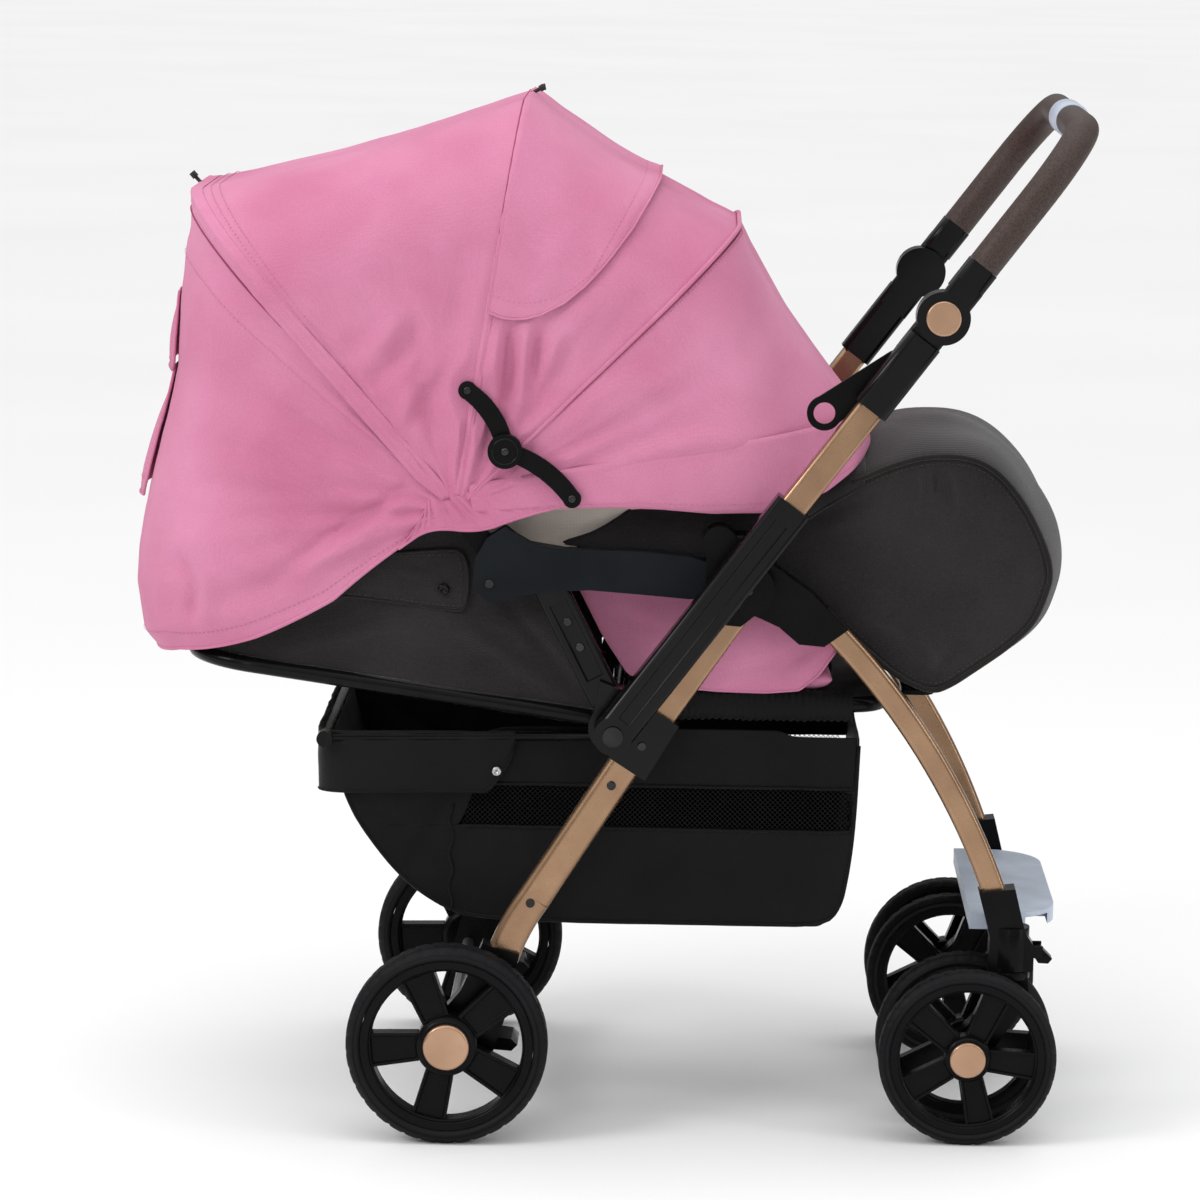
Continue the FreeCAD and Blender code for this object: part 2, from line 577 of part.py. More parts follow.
def make_seat():
    """Seat frame, seat liner with its side wings, guard bar, backrest and leg rest."""
    path = u_path(V(150, 0, SEAT_TUBE_Z), V(SEAT_FRONT, 0, SEAT_TUBE_Z), SEAT_TUBE_Y, 30, V(1, 0, 0))
    start = V(150, -SEAT_TUBE_Y, SEAT_TUBE_Z)
    outer = round_swept(path, SEAT_TUBE_R, start, V(1, 0, 0))
    lugs = [block(148, 172, s * SEAT_TUBE_Y - 5, s * SEAT_TUBE_Y + 5, 403, 427) for s in (-1, 1)]
    frame = fuse([outer] + lugs).cut(round_swept(path, SEAT_TUBE_R - WALL, start, V(1, 0, 0)))
    add("seat_frame", frame.cut(cross_rod(PIVOT, -170, 170, REAR_AXLE_R)))

    pad = block(178, 411, -SEAT_HALF, SEAT_HALF, 440, 472)
    pad = pad.makeFillet(9, pad.Edges)
    wing = [(136, 542), (184, 458), (244, 444), (343, 446), (376, 484), (378, 520), (330, 545)]
    wing += [(300, 552), (262, 556), (140, 556)]
    bolt_room = cross_rod(HUB, -170, 170, 12.6)
    wings = [plate(wing, s * 160, s * 162.4).cut(bolt_room) for s in (-1, 1)]
    add("seat_liner", [pad] + wings)

    path = u_path(V(264, 0, 600), V(326, 0, 600), 184, 40, V(1, 0, 0))
    start = V(264, -184, 600)
    guard = round_swept(path, BAR_GUARD_R, start, V(1, 0, 0))
    add("guard_bar", guard.cut(round_swept(path, BAR_GUARD_R - WALL, start, V(1, 0, 0))))

    a = math.radians(BACK_ANGLE)
    direction = V(math.cos(a), 0, math.sin(a))
    foot = at(along(PIVOT, BACK_ANGLE, 16))
    head = at(along(PIVOT, BACK_ANGLE, BACK_LENGTH))
    path = u_path(foot, head, BACK_TUBE_Y, 60, direction)
    start = foot + V(0, -BACK_TUBE_Y, 0)
    outer = round_swept(path, 8, start, direction)
    eyes = [cross_rod(PIVOT, s * BACK_TUBE_Y - 5, s * BACK_TUBE_Y + 5, 13) for s in (-1, 1)]
    back = fuse([outer] + eyes).cut(round_swept(path, 8 - WALL, start, direction))
    add("backrest_tube", back.cut(cross_rod(PIVOT, -190, 190, REAR_AXLE_R + RUNNING_GAP)))

    slab = block(62, 402, -SEAT_HALF, SEAT_HALF, 9, 44)
    slab = slab.makeFillet(12, slab.Edges)
    slab = slab.mirror(V(0, 0, 0), V(0, 0, 1))
    slab.rotate(V(0, 0, 0), V(0, 1, 0), -BACK_ANGLE)
    slab.translate(at(PIVOT))
    add("back_pad", slab)

    board = block(444, 500, -120, 120, 436, 442)
    clips = []
    for y in (-105, 95):
        clip = cross_rod((SEAT_FRONT, SEAT_TUBE_Z), y, y + 10, 13)
        clips.append(fuse([clip, block(SEAT_FRONT, 446, y, y + 10, 433, 442)]))
    board = fuse([board] + clips).cut(cross_rod((SEAT_FRONT, SEAT_TUBE_Z), -130, 130, SEAT_TUBE_R + RUNNING_GAP))
    add("legrest_board", board)

    outline = [(443, 431), (430, 478), (372, 520), (344, 548), (348, 612), (392, 655), (415, 672), (443, 695)]
    outline += [(473, 706), (510, 702), (540, 688), (563, 662), (588, 608), (603, 565), (604, 528)]
    outline += [(595, 482), (566, 452), (520, 430), (484, 424)]
    inside = [(452, 450), (440, 486), (380, 526), (340, 548), (340, 600), (398, 647), (421, 664), (448, 686)]
    inside += [(474, 697), (507, 693), (534, 681), (556, 658), (580, 604), (594, 563), (595, 529)]
    inside += [(587, 486), (562, 461), (518, 453), (484, 452)]
    muff = plate(outline, -SEAT_HALF, SEAT_HALF)
    muff = muff.cut(plate(inside, 8 - SEAT_HALF, SEAT_HALF - 8))
    pocket = block(420, 504, -122, 122, 434, 444)
    slots = [block(420, 450, y - 2, y + 12, 420, 446) for y in (-105, 95)]
    for piece in [pocket] + slots:
        muff = muff.cut(piece)
    add("footmuff", muff)


# ---- basket --------------------------------------------------------------------------------

def make_basket():
    """A fabric basket under the seat, hung from a rim tube and the seat."""
    outer = [(-124, 388), (-107, 329), (-92, 299), (-52, 248), (-14, 221), (18, 209), (368, 205)]
    outer += [(388, 221), (401, 308), (404, 398)]
    inner = [(-121.5, 390), (-104.8, 330), (-90, 300), (-50.5, 249.6), (-13, 223), (18.4, 211.2)]
    inner += [(367, 207.2), (385.8, 222.5), (398.8, 308), (401.6, 399)]
    body = plate(outer, -156, 156).cut(plate(inner, -153.8, 153.8))
    add("basket", body)

    rails = []
    for s in (-1, 1):
        rails.append(rod(V(186, s * 162, 398), V(-128, s * 162, 391), 5))
        rails.append(rod(V(-128, s * 158, 391), V(-128, s * 176, 391), 8))
        rails.append(rod(V(182, s * 160, 398), V(182, s * 190, 398), 5))
    rails.append(rod(V(-128, -165, 391), V(-128, 165, 391), 5))
    add("basket_rim", fuse(rails))


# ---- canopy --------------------------------------------------------------------------------

def fan(shape, angle):
    """Turn a piece made along +X about the middle to an angle of the fan, on the canopy hub."""
    shape.rotate(V(0, 0, 0), V(0, 1, 0), -angle)
    shape.translate(at(CANOPY_HUB))
    return shape


def u_outline(radius, half, corner, thick, inner_end):
    """A flat U-shaped strip in the XY plane, as a closed wire."""
    edges = []
    cut = 1 - math.sqrt(0.5)
    r = radius
    w = half
    c = corner
    outer = [V(inner_end, -w, 0), V(r - c, -w, 0), V(r - c * cut, -w + c * cut, 0), V(r, -w + c, 0)]
    outer += [V(r, w - c, 0), V(r - c * cut, w - c * cut, 0), V(r - c, w, 0), V(inner_end, w, 0)]
    r -= thick
    w -= thick
    c -= thick
    inner = [V(inner_end, -w, 0), V(r - c, -w, 0), V(r - c * cut, -w + c * cut, 0), V(r, -w + c, 0)]
    inner += [V(r, w - c, 0), V(r - c * cut, w - c * cut, 0), V(r - c, w, 0), V(inner_end, w, 0)]
    for p in (outer, inner):
        run = [Part.LineSegment(p[0], p[1]).toShape(), Part.Arc(p[1], p[2], p[3]).toShape()]
        run.append(Part.LineSegment(p[3], p[4]).toShape())
        run.append(Part.Arc(p[4], p[5], p[6]).toShape())
        run.append(Part.LineSegment(p[6], p[7]).toShape())
        edges.append(run)
    ends = [Part.LineSegment(outer[7], inner[7]).toShape(), Part.LineSegment(inner[0], outer[0]).toShape()]
    return Part.Wire(Part.__sortEdges__(edges[0] + [ends[0]] + edges[1] + [ends[1]]))


def rib(name):
    """A flat U-shaped rib with an eye at each end."""
    angle, radius, layer = RIBS[name]
    wire = u_outline(radius, layer + RIB_THICK / 2, RIB_CORNER, RIB_THICK, -6)
    strip = Part.Face(wire).extrude(V(0, 0, RIB_WIDTH))
    strip.translate(V(0, 0, -RIB_WIDTH / 2))
    strip = strip.cut(rod(V(0, -250, 0), V(0, 250, 0), CANOPY_PIN_R + RUNNING_GAP))
    return fan(strip, angle)


def canopy_sheet(stations):
    """Fabric between stations of the fan, each an angle and an outer radius."""
    solids = []
    for first, second in zip(stations, stations[1:]):
        wires = []
        for angle, radius in (first, second):
            wire = u_outline(radius, FABRIC_Y + FABRIC, RIB_CORNER, FABRIC, 26)
            wires.append(fan(wire, angle))
        solids.append(Part.makeLoft(wires, True, True))
    return solids[0] if len(solids) == 1 else fuse(solids)


def make_canopy():
    """Four ribs that fan out from one pin on each side, the fabric between them, and the stays."""
    rise = FABRIC_RISE + FABRIC
    radius = {name: RIBS[name][1] + rise for name in RIBS}
    seam = 0.12
    elbow_stud = cross_rod(STAY_UPPER_END, 195.5, 215.2, 3.0)
    stud_holes = [cross_rod(STAY_UPPER_END, s * 190, s * 230, 4.0) for s in (-1, 1)]

    add("canopy_rib_rear", rib("rear"))
    top_rib = rib("top")
    add("canopy_rib_top", fuse([top_rib, elbow_stud, mirrored(elbow_stud)]))
    add("canopy_rib_front", rib("front"))
    add("canopy_rib_visor", rib("visor"))

    last = RIBS["rear"][0] + 1.2
    stations = [(last, radius["rear"])] + CURTAIN
    add("canopy_rear", canopy_sheet(stations))
    top_stations = [(RIBS["top"][0] + seam, radius["top"]), (last - 2.4, radius["rear"])]
    top = canopy_sheet(top_stations + [(last - seam, radius["rear"])])
    front = canopy_sheet([(RIBS["front"][0] + seam, radius["front"]), (RIBS["top"][0] - seam, radius["top"])])
    lip = RIBS["visor"][0]
    visor_stations = [(lip - 1.2, radius["visor"]), (lip + 1.2, radius["visor"])]
    visor = canopy_sheet(visor_stations + [(RIBS["front"][0] - seam, radius["front"])])
    for name, sheet in (("top", top), ("front", front), ("visor", visor)):
        for hole in stud_holes:
            sheet = sheet.cut(hole)
        add("canopy_panel_" + name, sheet)

    pin = cross_rod(CANOPY_HUB, 186, 206.6, CANOPY_PIN_R)
    outline = [(-8, 622), (-6, 636), (10, 636), (52, 580), (46, 566), (34, 566)]
    foot = plate(outline, 184.9, 189.5)
    clip = fuse([foot, pin]).cut(cross_rod((40, 575), 180, 195, 7))
    add("canopy_mounts", both(clip))

    upper = stay_arm(STAY_UPPER_END, STAY_ELBOW, 210, 215, 9.0)
    upper = upper.cut(cross_rod(STAY_UPPER_END, 190, 230, 3.0 + RUNNING_GAP))
    upper = fuse([upper, cross_rod(STAY_ELBOW, 214, 224.6, 4.0)])
    add("stay_upper_arms", both(upper))
    lower = stay_arm(STAY_ELBOW, STAY_LOWER_END, 215.3, 220.3, 9.0)
    knob = cross_rod(STAY_ELBOW, 215.3, 225, 17)
    lower = fuse([lower, knob]).cut(cross_rod(STAY_ELBOW, 200, 230, 4.0 + RUNNING_GAP))
    add("stay_lower_arms", both(lower))


def stay_arm(start, end, y_in, y_out, half):
    """A flat curved arm, bowed upwards, with round ends."""
    lean = angle_of(start, end)
    length = math.hypot(end[0] - start[0], end[1] - start[1])
    bow = 7.0
    points = []
    for offset in (half, -half):
        run = [along(start, lean, 0, offset), along(start, lean, length / 2, offset + bow)]
        run.append(along(start, lean, length, offset))
        points.append([at(p, y_in) for p in run])
    upper, lower = points
    edges = [Part.Arc(*upper).toShape(), Part.LineSegment(upper[2], lower[2]).toShape()]
    edges += [Part.Arc(*reversed(lower)).toShape(), Part.LineSegment(lower[0], upper[0]).toShape()]
    arm = Part.Face(Part.Wire(edges)).extrude(V(0, y_out - y_in, 0))
    ends = [cross_rod(p, y_in, y_out, half) for p in (start, end)]
    return fuse([arm] + ends)


# ---- build and export ----------------------------------------------------------------------

make_wheels()
make_casters()
make_front_frame()
make_rear_frame()
make_fasteners()
make_handle()
make_seat()
make_basket()
make_canopy()

os.makedirs("parts", exist_ok=True)
whole = FreeCAD.BoundBox()
for node, solids in NODES.items():
    shape = Part.Compound(solids) if len(solids) > 1 else solids[0].copy()
    shape.translate(V(-MIDDLE_X, 0, 0))
    shape.exportStep("parts/" + node + ".step")
    whole.add(shape.BoundBox)
    if not shape.isValid() or len(solids) == 0:
        print("not valid:", node)
print(len(NODES), "nodes; x", round(whole.XMin, 2), round(whole.XMax, 2), "y", round(whole.YMin, 2),
      round(whole.YMax, 2), "z", round(whole.ZMin, 2), round(whole.ZMax, 2))
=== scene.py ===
import bmesh
import bpy
import json
import math
from mathutils import Matrix, Vector, noise


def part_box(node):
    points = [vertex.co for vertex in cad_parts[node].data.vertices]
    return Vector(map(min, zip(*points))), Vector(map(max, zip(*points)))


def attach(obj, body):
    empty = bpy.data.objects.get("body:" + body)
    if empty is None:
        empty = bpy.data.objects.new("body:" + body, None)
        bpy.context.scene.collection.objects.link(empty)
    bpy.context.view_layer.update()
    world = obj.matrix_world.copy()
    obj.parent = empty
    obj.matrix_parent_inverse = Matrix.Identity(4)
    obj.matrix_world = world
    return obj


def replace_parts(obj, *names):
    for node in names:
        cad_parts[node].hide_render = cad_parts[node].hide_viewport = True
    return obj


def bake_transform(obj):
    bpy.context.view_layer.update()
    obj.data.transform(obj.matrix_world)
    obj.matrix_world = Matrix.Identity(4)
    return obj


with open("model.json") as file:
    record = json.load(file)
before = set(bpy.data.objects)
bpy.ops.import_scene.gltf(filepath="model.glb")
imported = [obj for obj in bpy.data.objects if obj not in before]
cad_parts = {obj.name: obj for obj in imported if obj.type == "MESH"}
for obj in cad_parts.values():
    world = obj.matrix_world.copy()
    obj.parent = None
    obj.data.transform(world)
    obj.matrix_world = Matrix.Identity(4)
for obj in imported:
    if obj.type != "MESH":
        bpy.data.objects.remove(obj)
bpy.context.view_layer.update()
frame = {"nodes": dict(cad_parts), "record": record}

# Lengths below are millimetres, with x measured forward from the rear axle, as the parts are laid out.
low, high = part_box("rear_axle")
AXLE_X = (low.x + high.x) / 2
MM = 0.001
SIDES = (("left", 1), ("right", -1))


def at(x, y, z):
    """A point in millimetres from the rear axle, as metres in the frame."""
    return Vector((AXLE_X + x * MM, y * MM, z * MM))


# ---- materials -----------------------------------------------------------------------------

class Shader:
    """A node material that is written as a list of nodes."""

    def __init__(self, name, **sockets):
        self.material = bpy.data.materials.new(name)
        self.material.use_nodes = True
        self.tree = self.material.node_tree
        self.main = self.tree.nodes["Principled BSDF"]
        self.coords = self.tree.nodes.new("ShaderNodeTexCoord").outputs["Object"]
        for key, value in sockets.items():
            self.main.inputs[key.replace("_", " ")].default_value = value

    def node(self, kind, properties=None, **inputs):
        """A new node; an input takes a value or another node's output."""
        made = self.tree.nodes.new(kind)
        for key, value in (properties or {}).items():
            setattr(made, key, value)
        for key, value in inputs.items():
            name = key.replace("_", " ")
            socket = made.inputs[int(key[1:])] if key[0] == "i" and key[1:].isdigit() else made.inputs[name]
            if isinstance(value, bpy.types.NodeSocket):
                self.tree.links.new(value, socket)
            else:
                socket.default_value = value
        return made

    def noise(self, scale, detail=2.0, roughness=0.5):
        """Noise by position."""
        node = self.node("ShaderNodeTexNoise", Scale=scale, Detail=detail, Roughness=roughness, Vector=self.coords)
        return node.outputs["Fac"]

    def wave(self, direction, period):
        """Straight bands across one axis, with a period in metres."""
        properties = {"bands_direction": direction, "wave_profile": "SIN"}
        scale = 2 * math.pi / (20 * period)
        return self.node("ShaderNodeTexWave", properties, Scale=scale, Vector=self.coords).outputs["Fac"]

    def math(self, operation, first, second):
        """Arithmetic on two factors."""
        return self.node("ShaderNodeMath", {"operation": operation}, i0=first, i1=second).outputs[0]

    def ramp(self, factor, stops):
        """Colours along a factor; each stop is a position and a colour."""
        made = self.node("ShaderNodeValToRGB", Fac=factor)
        elements = made.color_ramp.elements
        while len(elements) < len(stops):
            elements.new(0.5)
        for element, (position, colour) in zip(elements, stops):
            element.position = position
            element.color = (*colour, 1)
        return made.outputs["Color"]

    def mix(self, factor, first, second, kind="MIX"):
        """Two colours mixed by a factor."""
        made = self.node("ShaderNodeMix", {"data_type": "RGBA", "blend_type": kind})
        for socket, value in ((0, factor), (6, first), (7, second)):
            if isinstance(value, bpy.types.NodeSocket):
                self.tree.links.new(value, made.inputs[socket])
            else:
                made.inputs[socket].default_value = value if socket == 0 else (*value, 1)
        return made.outputs[2]

    def set(self, socket, value):
        """Links a node's output to the shader."""
        self.tree.links.new(value, self.main.inputs[socket])

    def bump(self, height, strength, distance):
        """Fine relief of the surface, in metres."""
        made = self.node("ShaderNodeBump", Strength=strength, Distance=distance, Height=height)
        self.set("Normal", made.outputs["Normal"])


def spread(shader, factor, low_value, high_value):
    """A factor from 0 to 1, spread over a range."""
    made = shader.node("ShaderNodeMapRange", Value=factor, To_Min=low_value, To_Max=high_value)
    return made.outputs["Result"]


def fabric(name, dark, light, weave, roughness=0.9, sheen=0.3, bump=0.5, flecks=0.25):
    """Woven cloth: threads along all three axes, soft colour drift and fine flecks."""
    s = Shader(name, Sheen_Weight=sheen, Sheen_Roughness=0.45, Specular_IOR_Level=0.1)
    drift = s.ramp(s.noise(7.0, 3.0), [(0.3, dark), (0.7, light)])
    fleck = s.ramp(s.noise(1.1 / weave, 1.0), [(0.35, dark), (0.65, light)])
    colour = s.mix(flecks, drift, fleck)
    threads = s.math("ADD", s.wave("X", weave), s.wave("Z", weave))
    threads = s.math("ADD", threads, s.wave("Y", weave))
    shade = spread(s, threads, 0.78, 1.06)
    grey = s.node("ShaderNodeCombineColor", Red=shade, Green=shade, Blue=shade).outputs["Color"]
    s.set("Base Color", s.mix(0.35, colour, grey, "MULTIPLY"))
    s.set("Roughness", spread(s, s.noise(40.0), roughness - 0.08, roughness + 0.05))
    height = s.math("ADD", threads, s.math("MULTIPLY", s.noise(260.0, 3.0), 1.2))
    s.bump(height, bump, 0.00035)
    return s.material


def moulded(name, colour, roughness, grain=900.0, depth=0.12, coat=0.0, level=0.45):
    """Moulded plastic or rubber with fine grain and faint handling marks."""
    s = Shader(name, Coat_Weight=coat, Coat_Roughness=0.15, Specular_IOR_Level=level)
    lighter = tuple(c * 1.4 + 0.0015 for c in colour)
    s.set("Base Color", s.ramp(s.noise(22.0, 4.0), [(0.35, colour), (0.85, lighter)]))
    s.set("Roughness", spread(s, s.noise(55.0, 4.0, 0.6), roughness - 0.07, roughness + 0.1))
    s.bump(s.noise(grain, 2.0), depth, 0.0003)
    return s.material


def metal(name, dark, light, roughness, metallic=0.85, brushed=0.0, coat=0.3):
    """Anodised or painted metal with fine flake and soft variation."""
    level = 0.5 if metallic > 0.5 else 0.1
    s = Shader(name, Metallic=metallic, Coat_Weight=coat, Coat_Roughness=0.12, Specular_IOR_Level=level)
    s.set("Base Color", s.ramp(s.noise(18.0, 3.0), [(0.3, dark), (0.7, light)]))
    s.set("Roughness", spread(s, s.noise(60.0, 3.0), roughness - 0.05, roughness + 0.07))
    flakes = s.noise(1500.0, 1.0)
    if brushed:
        flakes = s.math("ADD", flakes, s.math("MULTIPLY", s.wave("Y", 0.0006), brushed))
    s.bump(flakes, 0.04, 0.0001)
    return s.material


def foam(name, dark, light):
    """Leather-grained foam."""
    s = Shader(name, Specular_IOR_Level=0.35, Coat_Weight=0.05, Coat_Roughness=0.4)
    cells = s.node("ShaderNodeTexVoronoi", Scale=420.0, Vector=s.coords).outputs["Distance"]
    s.set("Base Color", s.ramp(cells, [(0.05, dark), (0.6, light)]))
    s.set("Roughness", spread(s, s.noise(90.0), 0.5, 0.68))
    s.bump(cells, 0.35, 0.0004)
    return s.material


PINK = fabric("pink_cloth", (0.50, 0.150, 0.262), (0.62, 0.245, 0.385), 0.0013, sheen=0.1, bump=0.35)
GREY = fabric("grey_cloth", (0.0135, 0.012, 0.0125), (0.032, 0.029, 0.030), 0.0016, bump=0.45, flecks=0.4)
GREY_TRIM = fabric("grey_piping", (0.012, 0.011, 0.011), (0.024, 0.021, 0.020), 0.001, sheen=0.15)
BEIGE = fabric("beige_cloth", (0.74, 0.65, 0.57), (0.85, 0.77, 0.70), 0.0014)
NYLON = fabric("black_nylon", (0.003, 0.003, 0.0038), (0.007, 0.0068, 0.0078), 0.0009, 0.5, 0.05, 0.3)
NET = moulded("black_net", (0.006, 0.006, 0.007), 0.5, level=0.1)
THREAD_PINK = fabric("pink_thread", (0.48, 0.12, 0.22), (0.62, 0.22, 0.34), 0.0008)
# Dark pink for thin cords that paint the shade along the canopy's creases beside the ribs.
CREASE_SHADE_PINK = fabric("pink_seam", (0.26, 0.045, 0.095), (0.36, 0.08, 0.15), 0.0008, sheen=0.0)
THREAD_DARK = fabric("dark_thread", (0.02, 0.018, 0.018), (0.05, 0.045, 0.043), 0.0008)
TYRE = moulded("tyre_rubber", (0.006, 0.006, 0.007), 0.52, 700.0, 0.25, level=0.12)
BLACK = moulded("black_moulding", (0.0025, 0.0025, 0.0028), 0.27, level=0.09)
GLOSS = moulded("black_gloss", (0.002, 0.002, 0.0024), 0.17, 500.0, 0.05, 0.12, 0.12)
ARMREST = moulded("armrest_moulding", (0.006, 0.0075, 0.0095), 0.45, 1400.0, 0.3, level=0.08)
RIB = moulded("rib_plastic", (0.006, 0.006, 0.006), 0.45, level=0.1)
GREY_PLASTIC = moulded("grey_moulding", (0.37, 0.42, 0.50), 0.42, 1200.0, 0.1)
GOLD = metal("champagne_gold", (0.27, 0.158, 0.088), (0.36, 0.218, 0.126), 0.27)
GOLD_CAP = metal("copper_cap", (0.40, 0.235, 0.145), (0.50, 0.31, 0.20), 0.3, 0.75)
BLACK_METAL = metal("black_tube", (0.0035, 0.0035, 0.004), (0.007, 0.007, 0.008), 0.25, 0.3, 0.0, 0.06)
DARK_STEEL = metal("dark_rivet", (0.02, 0.02, 0.021), (0.05, 0.05, 0.052), 0.25, 0.9, 0.0, 0.0)
STEEL = metal("zinc_steel", (0.42, 0.42, 0.43), (0.55, 0.55, 0.56), 0.32, 1.0, 0.4, 0.0)
GRIP = foam("brown_grip", (0.018, 0.010, 0.0085), (0.050, 0.030, 0.024))

SLOT_MATERIALS = {
    "gold": GOLD, "gold_cap": GOLD_CAP, "black_plastic": BLACK, "black_gloss": GLOSS, "black_metal": BLACK_METAL,
    "steel": STEEL, "tyre": TYRE, "pink_fabric": PINK, "grey_fabric": GREY, "beige_fabric": BEIGE,
    "black_fabric": NYLON, "brown_grip": GRIP, "grey_plastic": GREY_PLASTIC, "fibre_rib": RIB,
}
NODE_MATERIALS = {"armrests": ARMREST, "frame_screws": DARK_STEEL, "pivot_rod": DARK_STEEL}
SMOOTH_NODES = ("handle_bar", "grips", "guard_bar", "seat_frame", "backrest_tube", "rear_axle", "rear_legs",
                "front_legs", "fold_hook")
PINK_SLOT, GREY_SLOT, NYLON_SLOT = "pink_fabric", "grey_fabric", "black_fabric"
EDGE_ROUND = 0.9
WELD_DISTANCE = 0.03


def dress_cad():
    """Every shown CAD node gets its material; each one not listed in SMOOTH_NODES also gets a weld and a small bevel
    on its hard edges.
    """
    slots = {part["node"]: part["material_slot"] for part in frame["record"]["subparts"]}
    for name, node in frame["nodes"].items():
        if node.hide_render:
            continue
        node.data.materials.clear()
        node.data.materials.append(NODE_MATERIALS.get(name) or SLOT_MATERIALS[slots[name]])
        if name not in SMOOTH_NODES:
            node.modifiers.new("weld", "WELD").merge_threshold = WELD_DISTANCE * MM
            bevelled(node, EDGE_ROUND)


# ---- mesh helpers --------------------------------------------------------------------------

def piece(name, points, faces, material, body=None, slot=None, smooth=True):
    """A mesh piece in the frame, riding on a body if one is given."""
    mesh = bpy.data.meshes.new(name)
    mesh.from_pydata([tuple(p) for p in points], [], faces)
    work = bmesh.new()
    work.from_mesh(mesh)
    bmesh.ops.recalc_face_normals(work, faces=work.faces)
    work.to_mesh(mesh)
    work.free()
    mesh.materials.append(material)
    mesh.polygons.foreach_set("use_smooth", [smooth] * len(mesh.polygons))
    obj = bpy.data.objects.new(name, mesh)
    bpy.context.scene.collection.objects.link(obj)
    if body:
        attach(obj, body)
    return obj


def quads(rows, columns, around=False, across=False):
    """Faces of a grid of points, which may close around its columns or its rows."""
    faces = []
    for i in range(rows if across else rows - 1):
        for j in range(columns if around else columns - 1):
            k = (j + 1) % columns
            n = (i + 1) % rows
            faces.append((i * columns + j, i * columns + k, n * columns + k, n * columns + j))
    return faces


def grid(name, rows, material, body=None, slot=None):
    """A sheet through rows of points."""
    points = [p for row in rows for p in row]
    return piece(name, points, quads(len(rows), len(rows[0])), material, body, slot)


def thicken(obj, thickness, offset=-1.0, smooth_levels=0):
    """Gives a sheet its thickness, and rounds it."""
    if smooth_levels:
        sub = obj.modifiers.new("smooth", "SUBSURF")
        sub.levels = smooth_levels
        sub.render_levels = smooth_levels
    wall = obj.modifiers.new("thickness", "SOLIDIFY")
    wall.thickness = thickness * MM
    wall.offset = offset
    return obj


def bevelled(obj, width, angle=35.0, segments=2):
    """Small round edges where faces meet sharply."""
    bevel = obj.modifiers.new("bevel", "BEVEL")
    bevel.width = width * MM
    bevel.segments = segments
    bevel.limit_method = "ANGLE"
    bevel.angle_limit = math.radians(angle)
    bevel.harden_normals = True
    return obj


def field(rows, columns, point):
    """Rows of points over a surface; point takes two shares from 0 to 1, by row and along the row."""
    return [[point(i / rows, j / columns) for j in range(columns + 1)] for i in range(rows + 1)]


def open_border(lines, inset=0):
    """The edge of rows of points: down one side, across the last row and back up the other side."""
    kept = lines[:len(lines) - inset]
    across = kept[-1][inset + 1:-inset - 1]
    return [line[inset] for line in kept] + across + [line[-inset - 1] for line in reversed(kept)]


def first_row(obj, columns):
    """The lowest line of points of a sheet."""
    return [v.co.copy() for v in obj.data.vertices[:columns + 1]]


def area_of(obj):
    """Area of a mesh before its modifiers."""
    return sum(p.area for p in obj.data.polygons)


def cloth_sheet(obj, flat, thickness, offset=-1, share=1.0, levels=1):
    """Gives cloth its thickness. A flat size (width, None, slack) gets its depth from the area."""
    area = area_of(obj) * share
    if flat[1] is None:
        flat = (flat[0], area / flat[0] * flat[2])
    thicken(obj, thickness, offset, levels)
    return obj


def bend_round(obj, first, second, first_angle, second_angle, centre, full_turn=False):
    """Bakes the piece's placement into its mesh and works out each point's angle round a centre (x, z); nothing is
    blended between the two bodies.

    Angles run from -180 to 180 degrees, or from 0 to 360 with full_turn.
    """
    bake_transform(obj)
    for vertex in obj.data.vertices:
        x = (vertex.co.x - AXLE_X) / MM - centre[0]
        z = vertex.co.z / MM - centre[1]
        angle = math.degrees(math.atan2(z, x))
        if full_turn:
            angle %= 360
    return obj


def pipe(path, radius, sides=8, closed=False):
    """Points and faces of a round tube along a path, with closed ends."""
    points = []
    count = len(path)
    normal = None
    for i, p in enumerate(path):
        before = path[i - 1] if closed or i else p
        after = path[(i + 1) % count] if closed or i < count - 1 else p
        tangent = (after - before).normalized()
        if normal is None:
            normal = tangent.orthogonal().normalized()
        normal = (normal - tangent * normal.dot(tangent)).normalized()
        side = tangent.cross(normal)
        for k in range(sides):
            a = 2 * math.pi * k / sides
            points.append(p + (normal * math.cos(a) + side * math.sin(a)) * radius * MM)
    faces = quads(count, sides, True, closed)
    if not closed:
        faces.append(tuple(range(sides)))
        faces.append(tuple(range((count - 1) * sides, count * sides)))
    return points, faces


def piping(name, path, radius, material, body=None, slot=None, sides=8, closed=False):
    """A round cord or hem along a path."""
    points, faces = pipe(path, radius, sides, closed)
    return piece(name, points, faces, material, body, slot)


def joined(parts):
    """Points and faces of several meshes as one."""
    points = []
    faces = []
    for more_points, more_faces in parts:
        shift = len(points)
        points += more_points
        faces += [tuple(i + shift for i in face) for face in more_faces]
    return points, faces


def spaced(path, step):
    """A path cut into equal steps, in millimetres."""
    result = [path[0]]
    left = step * MM
    for a, b in zip(path, path[1:]):
        length = (b - a).length
        done = 0.0
        while length - done >= left:
            done += left
            result.append(a.lerp(b, done / length))
            left = step * MM
        left -= length - done
    return result


